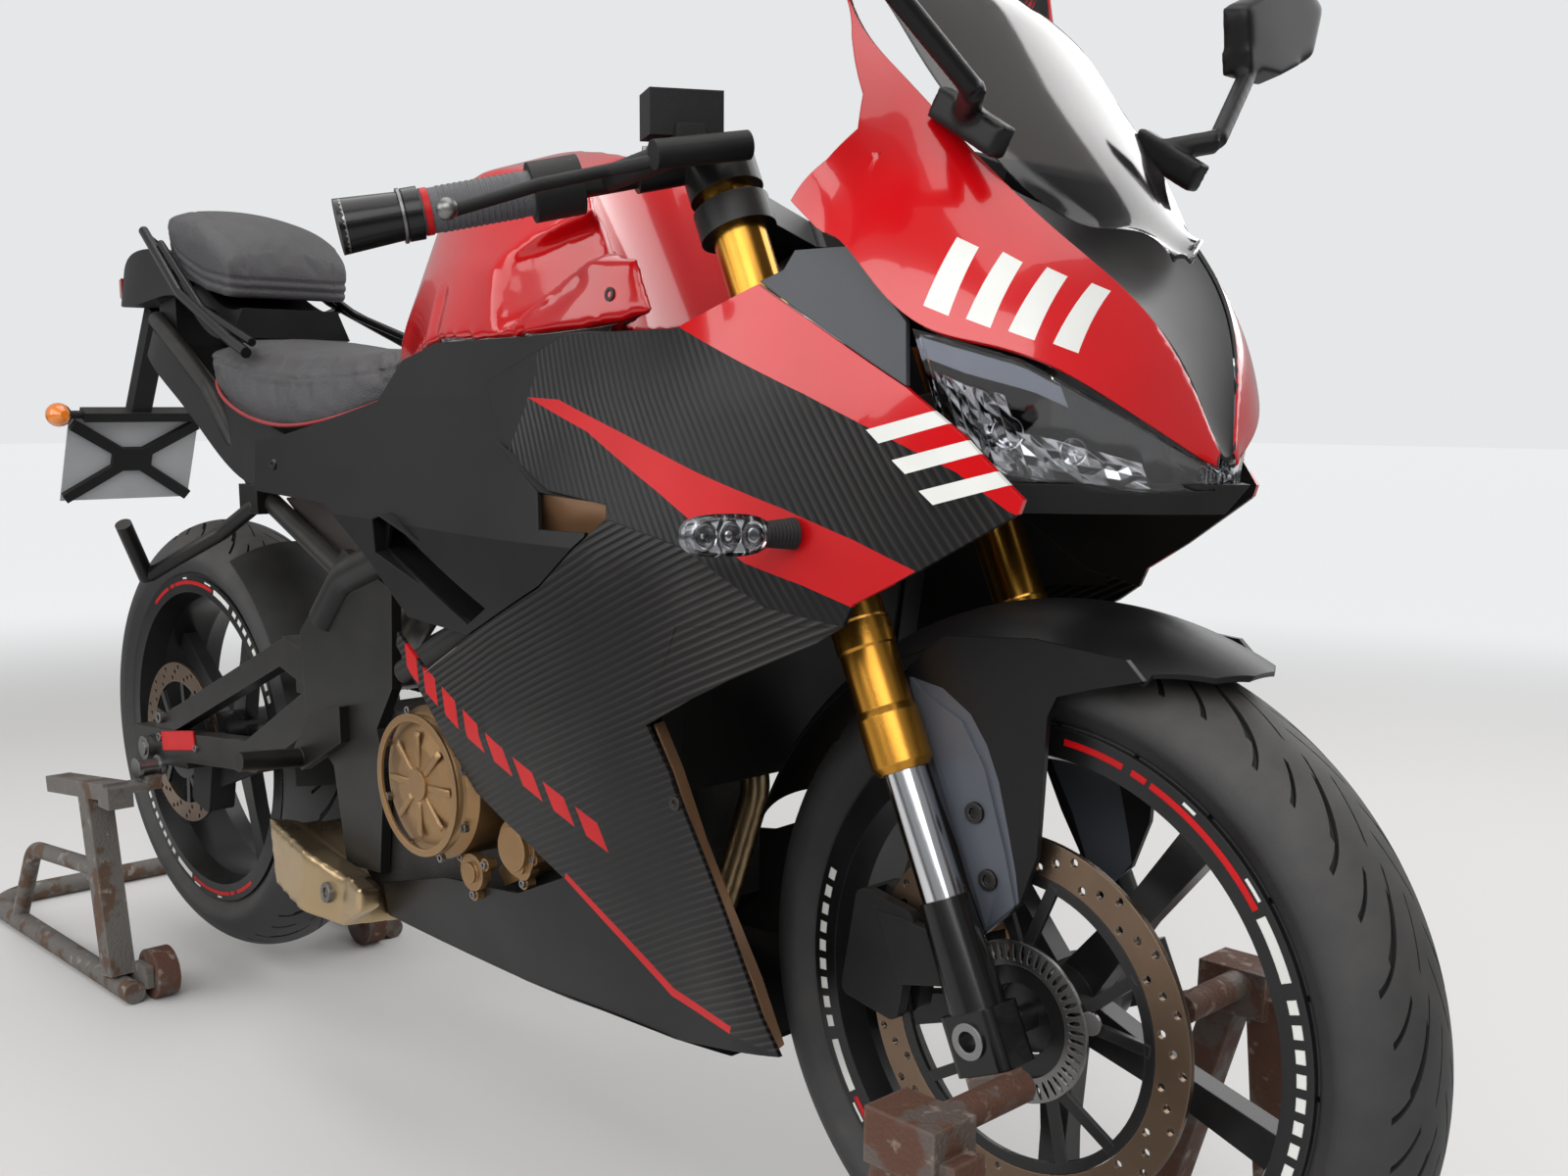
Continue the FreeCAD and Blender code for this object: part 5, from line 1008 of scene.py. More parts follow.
def stuffed(piece_name, node_name, shrink, pressure, cap):
    """A pad blown up from a slightly smaller copy of its solid, its base held flat."""
    low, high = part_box(node_name)
    middle, size = (low + high) / 2.0, high - low
    bm = merged_copy(node_name)
    bmesh.ops.translate(bm, verts=bm.verts, vec=-middle)
    bmesh.ops.scale(bm, verts=bm.verts, vec=[1.0 - 2.0 * shrink / s for s in size])
    bmesh.ops.translate(bm, verts=bm.verts, vec=middle)
    piece = keep_mesh(bm, piece_name)
    remesh = piece.modifiers.new("even", "REMESH")
    remesh.mode = "VOXEL"
    remesh.voxel_size = 0.0045
    apply_modifiers(piece)
    smooth = piece.modifiers.new("round", "SMOOTH")
    smooth.factor = 0.5
    smooth.iterations = 6
    apply_modifiers(piece)
    start = [v.co.copy() for v in piece.data.vertices]
    held = piece.vertex_groups.new(name="held")
    held.add([v.index for v in piece.data.vertices if v.normal.z < -0.6], 1.0, "REPLACE")
    cloth = piece.modifiers.new("filling", "CLOTH")
    cloth.settings.use_pressure = True
    cloth.settings.uniform_pressure_force = pressure
    cloth.settings.effector_weights.gravity = 0.0
    cloth.settings.vertex_group_mass = "held"
    cloth.settings.quality = 4
    cloth.point_cache.frame_end = 20
    for number in range(1, 21):
        bpy.context.scene.frame_set(number)
    blown = evaluated_mesh(piece)
    piece.modifiers.clear()
    piece.vertex_groups.clear()
    moves = [v.co - s for v, s in zip(blown.vertices, start)]
    bpy.context.scene.frame_set(1)
    for vert, place, move in zip(piece.data.vertices, start, moves):
        reach = min(move.length, cap)
        vert.co = place + (move.normalized() * reach if reach > 0 else move)
    print(piece_name, "grew by", round(max(m.length for m in moves), 4))
    finer = piece.modifiers.new("fine", "SUBSURF")
    finer.levels = 1
    finer.render_levels = 1
    apply_modifiers(piece)
    for face in piece.data.polygons:
        face.use_smooth = True
    piece.data.materials.clear()
    piece.data.materials.append(PAINT["seat_vinyl"])
    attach(piece, NODES[node_name]["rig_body"])
    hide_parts(node_name)
    print(piece_name, "faces", len(piece.data.polygons))
    return piece


def along(rows, x):
    """A value read from (x, value) rows at any x, with straight runs between."""
    rows = sorted(rows)
    if x <= rows[0][0]:
        return rows[0][1]
    for (x1, v1), (x2, v2) in zip(rows, rows[1:]):
        if x <= x2:
            return v1 + (v2 - v1) * (x - x1) / (x2 - x1)
    return rows[-1][1]


rider_pad = stuffed("rider_pad", "rider_seat", 0.004, 4.0, 0.012)
RIDER_SHOULDER = [(-0.5, 0.846), (-0.44, 0.842), (-0.36, 0.828), (-0.27, 0.820), (-0.18, 0.822),
                  (-0.112, 0.830)]
press_line(rider_pad, lambda p: along(RIDER_SHOULDER, p.x), 0.0016, 0.0026)
pillion_pad = stuffed("pillion_pad", "pillion_seat", 0.005, 4.5, 0.014)
PILLION_BASE = [(-0.76, 1.028), (-0.715, 0.994), (-0.64, 0.956), (-0.55, 0.926), (-0.492, 0.914)]
for lift in (0.016, 0.027):
    press_line(pillion_pad, lambda p: along(PILLION_BASE, p.x) + lift, 0.0018, 0.0022)


def seam_across(piece, half_rows, depth, width):
    """Press a pair of sewn lines along the top, at a distance from the middle plane."""
    for vert in piece.data.vertices:
        if vert.normal.z > 0.15:
            off = (abs(vert.co.y) - along(half_rows, vert.co.x)) / width
            if abs(off) < 3.0:
                vert.co -= vert.normal * depth * math.exp(-off * off)


seam_across(pillion_pad, [(-0.76, 0.006), (-0.66, 0.040), (-0.55, 0.066), (-0.49, 0.058)],
            0.0012, 0.0022)

# %% [markdown]
# A thin red cord is sewn along the lower edge of the rider's seat. It follows the seat's base
# outline round the back, so it is drawn as one smooth open curve with a round section.

# %% Seat piping
def smooth_tube(piece_name, points, radius, body, finish_name, closed=False):
    """A round rod or hose along a smooth line through control points."""
    line = bpy.data.curves.new(piece_name, "CURVE")
    line.dimensions = "3D"
    run = line.splines.new("NURBS")
    run.points.add(len(points) - 1)
    for target, place in zip(run.points, points):
        target.co = (*place, 1.0)
    run.order_u = 3
    run.use_cyclic_u = closed
    run.use_endpoint_u = not closed
    run.resolution_u = 6
    line.bevel_depth = radius
    line.bevel_resolution = 3
    line.use_fill_caps = not closed
    piece = bpy.data.objects.new(piece_name, line)
    bpy.context.scene.collection.objects.link(piece)
    line.materials.append(PAINT[finish_name])
    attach(piece, body)
    return piece


PIPING_ROWS = [(-0.120, 0.088, 0.801), (-0.180, 0.116, 0.779), (-0.270, 0.134, 0.766),
               (-0.360, 0.136, 0.776), (-0.440, 0.130, 0.801), (-0.492, 0.108, 0.829)]
piping = [(x, -y, z) for x, y, z in PIPING_ROWS] + [(-0.504, -0.05, 0.836), (-0.504, 0.05, 0.836)]
piping += [(x, y, z) for x, y, z in reversed(PIPING_ROWS)]
smooth_tube("seat_piping", piping, 0.0022, "bike", "piping_red")

# %% [markdown]
# A headlamp is a clear shell over a dark box with chromed bowls and faceted reflectors. The
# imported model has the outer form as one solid. The shell here is that form with a thin wall,
# so light passes nearly straight, and the parts behind it are placed by their share of the
# way along and down the lamp's face.

# %% Headlamps
LAMP_FACE = [
    # x, then (y, z) of the upper and lower edge of the right lamp
    (0.668, (-0.178, 0.843), (-0.140, 0.770)),
    (0.695, (-0.163, 0.835), (-0.116, 0.745)),
    (0.728, (-0.140, 0.823), (-0.084, 0.738)),
    (0.767, (-0.089, 0.790), (-0.049, 0.734)),
    (0.790, (-0.043, 0.764), (-0.028, 0.736)),
]


def lamp_point(x, share, depth):
    """A point behind the right lamp's face: share goes from the upper to the lower edge."""
    high = Vector((x, along([(r[0], r[1][0]) for r in LAMP_FACE], x),
                   along([(r[0], r[1][1]) for r in LAMP_FACE], x)))
    low = Vector((x, along([(r[0], r[2][0]) for r in LAMP_FACE], x),
                  along([(r[0], r[2][1]) for r in LAMP_FACE], x)))
    place = high.lerp(low, share)
    inward = Vector((-0.62, 0.74, 0.12)).normalized()
    return place + inward * depth


def mirrored(bm):
    """Add the left copy of a right-hand mesh."""
    bmesh.ops.mirror(bm, geom=bm.verts[:] + bm.edges[:] + bm.faces[:], axis="Y", merge_dist=0.0)
    bmesh.ops.recalc_face_normals(bm, faces=bm.faces)


def place_piece(bm, piece_name, body, finish_name, angle=32.0):
    """Keep a finished mesh as a piece that rides on a body."""
    sharpen(bm, angle)
    piece = keep_mesh(bm, piece_name)
    piece.data.materials.append(PAINT[finish_name])
    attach(piece, body)
    return piece


def thicken(bm, thickness):
    """Turn open faces outwards and give them a wall."""
    bmesh.ops.recalc_face_normals(bm, faces=bm.faces)
    bmesh.ops.solidify(bm, geom=list(bm.faces), thickness=thickness)


def thin_pair(bm, thickness, piece_name, finish_name, angle=32.0):
    """Give open faces a wall, add their left copy and keep them on the main body."""
    thicken(bm, thickness)
    mirrored(bm)
    return place_piece(bm, piece_name, "bike", finish_name, angle)


def cup(bm, profile, width, height, steps, reach, turn_to, place):
    """A small bowl spun from a profile of (radius, height) shares, then turned and placed."""
    ring = [bm.verts.new((r * width, 0.0, h * height)) for r, h in profile]
    sides = [bm.edges.new(pair) for pair in zip(ring, ring[1:])]
    bmesh.ops.spin(bm, geom=ring + sides, cent=(0, 0, 0), axis=(0, 0, 1), dvec=(0, 0, 0),
                   angle=math.tau, steps=steps, use_merge=True)
    fresh = [v for v in bm.verts if v.co.length < reach]
    bmesh.ops.rotate(bm, verts=fresh, cent=(0, 0, 0), matrix=turn_to)
    bmesh.ops.translate(bm, verts=fresh, vec=place)


shell = merged_copy("headlamps")
bmesh.ops.solidify(shell, geom=list(shell.faces), thickness=0.0022)
lens = place_piece(shell, "lamp_lenses", "bike", "clear_lens")
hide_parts("headlamps")


def lamp_patch(x_low, x_high, share_low, share_high, depth, columns, rows, ruffle=0.0):
    """A sheet behind the lamp's face, with facets where ruffle is set."""
    bm = bmesh.new()
    bmesh.ops.create_grid(bm, x_segments=columns, y_segments=rows, size=0.5)
    for vert in bm.verts:
        x = x_low + (x_high - x_low) * (vert.co.x + 0.5)
        share = share_low + (share_high - share_low) * (vert.co.y + 0.5)
        bump = ruffle * math.sin(vert.co.x * 71.0 + vert.co.y * 137.0 + 1.7)
        vert.co = lamp_point(x, share, depth + bump)
    thicken(bm, 0.0008)
    return bm


housing = lamp_patch(0.672, 0.786, 0.03, 0.97, 0.026, 10, 6)
mirrored(housing)
PAINT["lamp_dark"] = finish("lamp_dark", display(8, 8, 9), display(12, 12, 13), (0.3, 0.4),
                            grain=(400.0, 0.0), dust=0.0, shine=0.2)
place_piece(housing, "lamp_housings", "bike", "lamp_dark")
strip = lamp_patch(0.671, 0.744, 0.06, 0.24, 0.005, 10, 2)
mirrored(strip)
PAINT["day_lamp"] = finish("day_lamp", display(168, 174, 190), display(184, 188, 202),
                           (0.2, 0.3), coat=0.5, dust=0.0)
place_piece(strip, "day_lamps", "bike", "day_lamp")
PAINT["lamp_chrome"] = finish("lamp_chrome", display(222, 222, 224), display(200, 198, 196),
                              (0.05, 0.12), metal=1.0, grain=(900.0, 0.0), dust=0.0)
facets = lamp_patch(0.673, 0.712, 0.34, 0.97, 0.014, 7, 7, 0.0035)
join_mesh(facets, lamp_patch(0.712, 0.772, 0.62, 0.97, 0.014, 9, 4, 0.003))
mirrored(facets)
for face in facets.faces:
    face.smooth = False
reflectors = keep_mesh(facets, "lamp_reflectors")
reflectors.data.materials.append(PAINT["lamp_chrome"])
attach(reflectors, "bike")

LAMP_BOWLS = [
    # x, share of the way down, depth, radius
    (0.706, 0.66, 0.017, 0.0115),
    (0.738, 0.70, 0.017, 0.0095),
]
OUT_OF_LAMP = Vector((0.80, -0.58, 0.14)).normalized()
BOWL = [(0.2, -0.7), (0.45, -0.5), (0.75, -0.15), (1.0, 0.35), (1.0, 0.42), (0.94, 0.40),
        (0.70, -0.06), (0.40, -0.42), (0.2, -0.62)]
turn_out = OUT_OF_LAMP.to_track_quat("Z", "Y").to_matrix()
bowls = bmesh.new()
globes = bmesh.new()
for x, share, depth, radius in LAMP_BOWLS:
    place = lamp_point(x, share, depth)
    cup(bowls, BOWL, radius, radius, 32, radius * 1.3, turn_out, place)
    ball = bmesh.ops.create_uvsphere(globes, u_segments=20, v_segments=12, radius=radius * 0.3)
    bmesh.ops.translate(globes, verts=ball["verts"], vec=place + OUT_OF_LAMP * radius * 0.05)
bmesh.ops.remove_doubles(bowls, verts=bowls.verts, dist=0.00005)
mirrored(bowls)
mirrored(globes)
place_piece(bowls, "lamp_bowls", "bike", "lamp_chrome")
place_piece(globes, "lamp_globes", "bike", "clear_lens")
print("headlamps done")

# %% [markdown]
# Screws are what the eye uses to judge size, so each is a real head with a socket pressed in.
# A drum with a bevelled rim is quick to make, and one mesh holds all the heads that ride on
# one body. A table lists where each one sits, which way it points and how large it is.

# %% Screws and studs
def screw(bm, place, direction, radius, height):
    """Add a socket-head screw standing on a surface."""
    made = bmesh.ops.create_cone(bm, cap_ends=True, segments=20, radius1=radius,
                                 radius2=radius * 0.94, depth=height)
    near = [f for v in made["verts"] for f in v.link_faces]
    top = max(near, key=lambda f: f.calc_center_median().z)
    rim = bmesh.ops.inset_region(bm, faces=[top], thickness=radius * 0.45, depth=0.0)
    pushed = bmesh.ops.inset_region(bm, faces=[top], thickness=radius * 0.02,
                                    depth=-height * 0.55)
    verts = set(made["verts"])
    for face in rim["faces"] + pushed["faces"] + [top]:
        verts.update(face.verts)
    turn_to = Vector(direction).normalized().to_track_quat("Z", "Y").to_matrix()
    bmesh.ops.rotate(bm, verts=list(verts), cent=(0, 0, 0), matrix=turn_to)
    bmesh.ops.translate(bm, verts=list(verts), vec=Vector(place))


def screws(piece_name, body, rows, finish_name="dark_bolt", both_sides=True):
    """One piece of screws from rows of place, direction, radius and height."""
    bm = bmesh.new()
    for place, direction, radius, height in rows:
        screw(bm, place, direction, radius, height)
    if both_sides:
        mirrored(bm)
    return place_piece(bm, piece_name, body, finish_name)


screws("fender_screws", "steering", [
    ((0.6575, -0.0800, 0.495), (0, -1, 0), 0.0085, 0.005),
    ((0.6720, -0.0800, 0.446), (0, -1, 0), 0.0085, 0.005),
])
screws("panel_screws", "bike", [
    ((0.335, -0.1628, 0.881), (0, -1, 0.1), 0.006, 0.003),
    ((0.463, -0.2065, 0.487), (0, -1, 0), 0.006, 0.003),
    ((0.300, -0.2120, 0.640), (0, -1, 0), 0.005, 0.003),
    ((-0.180, -0.2000, 0.730), (0, -1, 0), 0.006, 0.003),
])
screws("bar_screws", "steering", [
    ((0.382, -0.101, 1.001), (-0.42, 0, 0.9), 0.005, 0.004),
])

# %% [markdown]
# The front signals are clear: an oval lens over a silver tray with three small bowls, on a
# short ribbed rubber stalk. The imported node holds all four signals, so a merged copy keeps
# the rear pair in amber and drops the front pair, which is rebuilt from round forms.

# %% Turn signals
rear_signals = merged_copy("turn_signals")
bmesh.ops.delete(rear_signals, geom=[v for v in rear_signals.verts if v.co.x > 0],
                 context="VERTS")
for face in rear_signals.faces:
    face.material_index = 0 if abs(face.calc_center_median().y) > 0.112 else 1
signal_piece = place_piece(rear_signals, "rear_signals", "bike", "amber_lens")
signal_piece.data.materials.append(PAINT["black_rubber"])
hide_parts("turn_signals")
SIGNAL_ROOT = Vector((0.5835, -0.202, 0.7045))
SIGNAL_TIP = Vector((0.5570, -0.2885, 0.7055))
SIGNAL_MIDDLE = SIGNAL_ROOT.lerp(SIGNAL_TIP, 0.585)
signal_way = (SIGNAL_TIP - SIGNAL_ROOT).normalized()
signal_face = Vector((0.95, -0.31, 0.0)).normalized()
signal_turn = Matrix((signal_way, signal_face, signal_way.cross(signal_face))).transposed()


def signal_oval(bm, scale):
    """A squared oval along the signal."""
    made = bmesh.ops.create_uvsphere(bm, u_segments=32, v_segments=20, radius=1.0)["verts"]
    for vert in made:
        place = Vector([math.copysign(abs(c) ** 0.72, c) for c in vert.co])
        vert.co = Vector((place.x * 0.0350, place.y * 0.0105, place.z * 0.0150)) * scale
    bmesh.ops.rotate(bm, verts=made, cent=(0, 0, 0), matrix=signal_turn)
    bmesh.ops.translate(bm, verts=made, vec=SIGNAL_MIDDLE)


signal_lens = bmesh.new()
signal_oval(signal_lens, 1.0)
thin_pair(signal_lens, 0.0009, "front_signal_lenses", "clear_lens", 60.0)
tray = bmesh.new()
signal_oval(tray, 0.86)
bmesh.ops.bisect_plane(tray, geom=tray.verts[:] + tray.edges[:] + tray.faces[:], dist=0.00001,
                       plane_co=SIGNAL_MIDDLE + signal_face * 0.001, plane_no=signal_face,
                       clear_outer=True)
bmesh.ops.holes_fill(tray, edges=[e for e in tray.edges if e.is_boundary])
TRAY_CUP = [(0.1, -0.2), (0.5, -0.1), (0.8, 0.25), (1.0, 0.6), (1.0, 0.7), (0.85, 0.62)]
for number in (-1, 0, 1):
    cup(tray, TRAY_CUP, 0.0092, 0.006, 20, 0.02, signal_face.to_track_quat("Z", "Y").to_matrix(),
        SIGNAL_MIDDLE + signal_face * 0.0015 + signal_way * 0.0185 * number)
mirrored(tray)
place_piece(tray, "front_signal_trays", "bike", "lamp_chrome", 40.0)
stalk = bmesh.new()
STALK_RINGS = 9
for number in range(STALK_RINGS):
    share = number / (STALK_RINGS - 1)
    taper = share * 0.002
    made = bmesh.ops.create_cone(stalk, cap_ends=True, segments=24, radius1=0.0115 - taper,
                                 radius2=0.0105 - taper, depth=0.0034)["verts"]
    bmesh.ops.rotate(stalk, verts=made, cent=(0, 0, 0),
                     matrix=signal_way.to_track_quat("Z", "Y").to_matrix())
    bmesh.ops.translate(stalk, verts=made, vec=SIGNAL_ROOT + signal_way * (0.001 + 0.022 * share))
mirrored(stalk)
place_piece(stalk, "front_signal_stalks", "bike", "black_rubber")
print("signals done")

# %% [markdown]
# Air leaves through a long slot in the side cover. From outside one sees dark inner walls, so
# the opening gets a liner: its outline is pushed in and closed at the back. The louvres behind
# the front wheel are a row of slanted fins in a frame. Their inner ends stay behind the room
# that the tyre sweeps at full lock, so each fin's ends are given one by one.

# %% Liners and louvres
SLOT_DUCT = [(6, 684), (20, 688), (226, 624), (224, 612), (188, 594), (10, 650)]
DUCT_OUT, DUCT_BACK = -196, Vector((-0.010, 0.046, 0.006))
liner = bmesh.new()
face = liner.faces.new([liner.verts.new(metres(x, DUCT_OUT, z)) for x, z in SLOT_DUCT])
made = bmesh.ops.extrude_face_region(liner, geom=[face])["geom"]
pushed = [item for item in made if isinstance(item, bmesh.types.BMVert)]
bmesh.ops.translate(liner, verts=pushed, vec=DUCT_BACK)
if face.is_valid:
    bmesh.ops.delete(liner, geom=[face], context="FACES_ONLY")
thin_pair(liner, 0.0015, "duct_liners", "satin_black")

LOUVRES = [
    # outer end (x, z), inner end (x, z), then how far out each end is, all in millimetres
    ((454, 486), (440, 468), 190, 163), ((458, 462), (437, 438), 187, 161),
    ((467, 438), (434, 408), 183, 160), ((476, 414), (431, 380), 179, 150),
    ((487, 392), (430, 352), 174, 147), ((498, 369), (432, 330), 170, 147),
    ((508, 346), (436, 308), 165, 146), ((516, 324), (440, 288), 160, 145),
]
FIN_TALL, FIN_LEAN, FIN_BOW = 0.019, 0.014, 0.004
fins = bmesh.new()
for (x1, z1), (x2, z2), fin_out, fin_in in LOUVRES:
    made = bmesh.ops.create_grid(fins, x_segments=6, y_segments=2, size=0.5)["verts"]
    for vert in made:
        across = vert.co.x + 0.5
        lift = vert.co.y + 0.5
        bow = math.sin(math.pi * across) * FIN_BOW
        place = metres(x1, -fin_out, z1).lerp(metres(x2, -fin_in, z2), across)
        vert.co = place + Vector((-FIN_LEAN * lift - bow, 0.0, FIN_TALL * (lift - 0.5)))
# The fins, their frames and the panel lips are black; this warm bronze tone is painted light that
# they catch.
PAINT["painted_lit_bronze"] = finish("painted_lit_bronze", display(150, 112, 80), display(112, 84, 62),
                             (0.28, 0.4), metal=0.5, grain=(1200.0, 0.00008),
                             worn=display(120, 92, 66), wear=0.4, dust=0.1)
thin_pair(fins, 0.0018, "louvre_fins", "painted_lit_bronze")
frame_strip = bmesh.new()
STRIP_LINE = [(436, 546, 204), (457, 511, 202), (476, 455, 194), (496, 402, 184), (516, 345, 171),
              (532, 290, 161)]
STRIP_WIDE = 14
for (x1, z1, y1), (x2, z2, y2) in zip(STRIP_LINE, STRIP_LINE[1:]):
    corners = ((x1, z1, y1), (x2, z2, y2), (x2 - 5, z2, y2 - STRIP_WIDE),
               (x1 - 5, z1, y1 - STRIP_WIDE))
    frame_strip.faces.new([frame_strip.verts.new(metres(x, -y, z)) for x, z, y in corners])
bmesh.ops.remove_doubles(frame_strip, verts=frame_strip.verts, dist=0.0001)
thin_pair(frame_strip, 0.0016, "louvre_frames", "painted_lit_bronze")
print("louvres", len(LOUVRES))

# %% [markdown]
# Tank, silencer and mirrors are smooth pressed or moulded forms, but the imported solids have
# flat facets and sharp cuts where the bars sweep past. A fresh skin of even small faces over
# the same solid, relaxed a few times, turns every cut into a soft recess of the same depth,
# which is how a pressed tank really looks. It stays within a few millimetres of the solid.

# %% Smooth pressed forms
EXTRA_ROUNDS = 22
MIRROR_HEAD_FROM = 1.070


def relaxed(node_name, voxel, rounds, piece_name, finish_name, rounder=None):
    """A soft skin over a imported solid, replacing it; rounder picks places to relax further."""
    bm = merged_copy(node_name)
    rough = keep_mesh(bm, piece_name + "_rough")
    remesh = rough.modifiers.new("even_skin", "REMESH")
    remesh.mode = "VOXEL"
    remesh.voxel_size = voxel
    smooth = rough.modifiers.new("relax", "SMOOTH")
    smooth.factor = 0.5
    smooth.iterations = rounds
    soft = evaluated_mesh(rough)
    bpy.data.objects.remove(rough)
    skin = bmesh.new()
    skin.from_mesh(soft)
    bpy.data.meshes.remove(soft)
    for _ in range(EXTRA_ROUNDS if rounder else 0):
        bmesh.ops.smooth_vert(skin, verts=[v for v in skin.verts if rounder(v.co)], factor=0.5,
                              use_axis_x=True, use_axis_y=True, use_axis_z=True)
    piece = place_piece(skin, piece_name, NODES[node_name]["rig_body"], finish_name,
                        80.0)
    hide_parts(node_name)
    print(piece_name, "faces", len(piece.data.polygons))
    return piece


relaxed("fuel_tank", 0.0045, 12, "tank_skin", "gloss_red")
relaxed("exhaust", 0.0035, 8, "silencer_skin", "silencer_champagne")
relaxed("mirrors", 0.0024, 5, "mirror_shells", "satin_black",
        lambda co: co.z > MIRROR_HEAD_FROM)
screws("silencer_boss", "bike", [((-0.140, -0.1815, 0.269), (-0.1, -0.99, 0.1), 0.012, 0.006)],
       "plain_steel", False)

# %% [markdown]
# The clutch cover and the small covers in front of it are cast, with a raised rim, ribs and
# screws round the edge. Rings come from the same flat ring as the discs. The ribs are short
# bars with sloping ends, turned about the centre of the cover, so one loop makes them all.

# %% Cast covers
BLOCK_BEVEL = 0.0008


def bar_block(bm, centre, size, matrix, taper=0.0):
    """A bevelled block; taper draws its far face in."""
    made = bmesh.ops.create_cube(bm, size=1.0)["verts"]
    for vert in made:
        draw = 1.0 - taper if vert.co.y < 0 else 1.0
        vert.co = Vector((vert.co.x * size[0] * draw, vert.co.y * size[1],
                          vert.co.z * size[2] * draw))
    edges = list({e for v in made for e in v.link_edges})
    rounded = bmesh.ops.bevel(bm, geom=edges, offset=BLOCK_BEVEL, segments=2, affect="EDGES")
    fresh = {v for f in rounded["faces"] for v in f.verts}
    made = list(fresh | {v for v in made if v.is_valid})
    bmesh.ops.rotate(bm, verts=made, cent=(0, 0, 0), matrix=matrix)
    bmesh.ops.translate(bm, verts=made, vec=Vector(centre))


COVER_CENTRE = Vector((0.077, -0.1975, 0.431))
cover = flat_ring(0.0700, 0.0625, COVER_CENTRE, -0.0017, 0.0030, 72)
RIB_COUNT = 8
for number in range(RIB_COUNT):
    turn = Matrix.Rotation(math.tau * number / RIB_COUNT, 3, "Y")
    out = turn @ Vector((0.0, 0.0, 0.034))
    bar_block(cover, COVER_CENTRE + out, (0.0085, 0.003, 0.040), turn, 0.25)
drum(cover, COVER_CENTRE, 0.0150, 0.0045, 28, 0.2)
place_piece(cover, "clutch_cover_ribs", "bike", "bronze_cast")
rows = [(polar(COVER_CENTRE, 0.0735, 20 + 45 * number, 0.0075), (0, -1, 0), 0.0045, 0.005)
        for number in range(8)]
screws("clutch_cover_screws", "bike", rows, "plain_steel", False)
SMALL_COVERS = [((0.129, -0.1690, 0.350), 0.0185), ((0.206, -0.1655, 0.373), 0.0145)]
small = bmesh.new()
rows = []
for centre, radius in SMALL_COVERS:
    drum(small, Vector(centre), radius, 0.010, 32, 0.12)
    drum(small, Vector(centre) + Vector((0, -0.006, 0)), radius * 0.55, 0.005, 24, 0.1)
    for number in range(3):
        lug = polar(Vector(centre), radius * 1.22, 30 + 120 * number, 0.002)
        drum(small, lug, 0.0065, 0.010, 18, 0.1)
        rows.append((lug + Vector((0, -0.0055, 0)), (0, -1, 0), 0.0042, 0.004))
place_piece(small, "engine_small_covers", "bike", "bronze_cast")
screws("engine_screws", "bike", rows, "plain_steel", False)

# %% [markdown]
# The hand controls are black on black, so their edges and small bright parts carry them: the
# plain fluid reservoir, the ball on the lever's end, the ribbed grip with a red
# ring, and the dark flared weight at its end. The grip's copy is coloured along its length.

# %% Hand controls
BAR_ROOT = Vector((0.393, -0.1015, 0.985))
BAR_END = Vector((0.254, -0.362, 0.925))
GRIP_RADIUS = 0.017
BAR_WAY = (BAR_END - BAR_ROOT).normalized()
bar_turn = BAR_WAY.to_track_quat("Z", "Y").to_matrix()


def on_bar(share):
    """A point on the right bar, by its share of the way to the end."""
    return BAR_ROOT.lerp(BAR_END, share)


grips = merged_copy("grips")
for face in grips.faces:
    middle = face.calc_center_median()
    share = (Vector((middle.x, -abs(middle.y), middle.z)) - BAR_ROOT).dot(BAR_WAY)
    share /= (BAR_END - BAR_ROOT).length
    face.material_index = 0 if share < 0.79 else 1
grip_piece = place_piece(grips, "grip_rubbers", "steering", "soft_rubber")
grip_piece.data.materials.append(PAINT["gloss_black"])
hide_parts("grips")


def bar_rings(piece_name, shares, radius, width, finish_name):
    """Raised rings round both grips."""
    bm = bmesh.new()
    for share in shares:
        made = bmesh.ops.create_cone(bm, cap_ends=True, segments=28, radius1=radius,
                                     radius2=radius, depth=width)["verts"]
        bmesh.ops.rotate(bm, verts=made, cent=(0, 0, 0), matrix=bar_turn)
        bmesh.ops.translate(bm, verts=made, vec=on_bar(share))
    mirrored(bm)
    place_piece(bm, piece_name, "steering", finish_name)


rib_shares = [0.535 + 0.0155 * number for number in range(14)]
bar_rings("grip_ribs", rib_shares, GRIP_RADIUS + 0.0006, 0.0022, "soft_rubber")
bar_rings("grip_red_rings", [0.775], GRIP_RADIUS + 0.0009, 0.0055, "decal_red")
bar_rings("bar_weight_rims", [0.838, 0.986], GRIP_RADIUS + 0.0038, 0.0022, "plain_steel")

RESERVOIR = Vector((0.408, -0.150, 1.011))
RESERVOIR_DEEP, RESERVOIR_WIDE, RESERVOIR_TALL = 0.036, 0.058, 0.034
reservoir_turn = Matrix.Rotation(math.radians(-28.0), 3, "Z")


def stepped_frame(bm, face_way, up, width, height, levels):
    """Nested rectangular frames on one face of the reservoir; levels are (inset, bar, lift)."""
    # Known fault: each new face is inset before it has a normal, so the frames get no width
    # and don't show. A call of face.normal_update() before the inset is what is missing.
    side = face_way.cross(up)
    for inset, bar, lift in levels:
        half_w, half_h = width / 2 - inset, height / 2 - inset
        corners = [side * (sx * half_w) + up * (sz * half_h) + face_way * lift
                   for sx, sz in ((-1, -1), (1, -1), (1, 1), (-1, 1))]
        face = bm.faces.new([bm.verts.new(corner) for corner in corners])
        rim = bmesh.ops.inset_individual(bm, faces=[face], thickness=bar, depth=0.0)["faces"]
        bmesh.ops.delete(bm, geom=[face], context="FACES_ONLY")
        bmesh.ops.solidify(bm, geom=rim, thickness=0.0016)


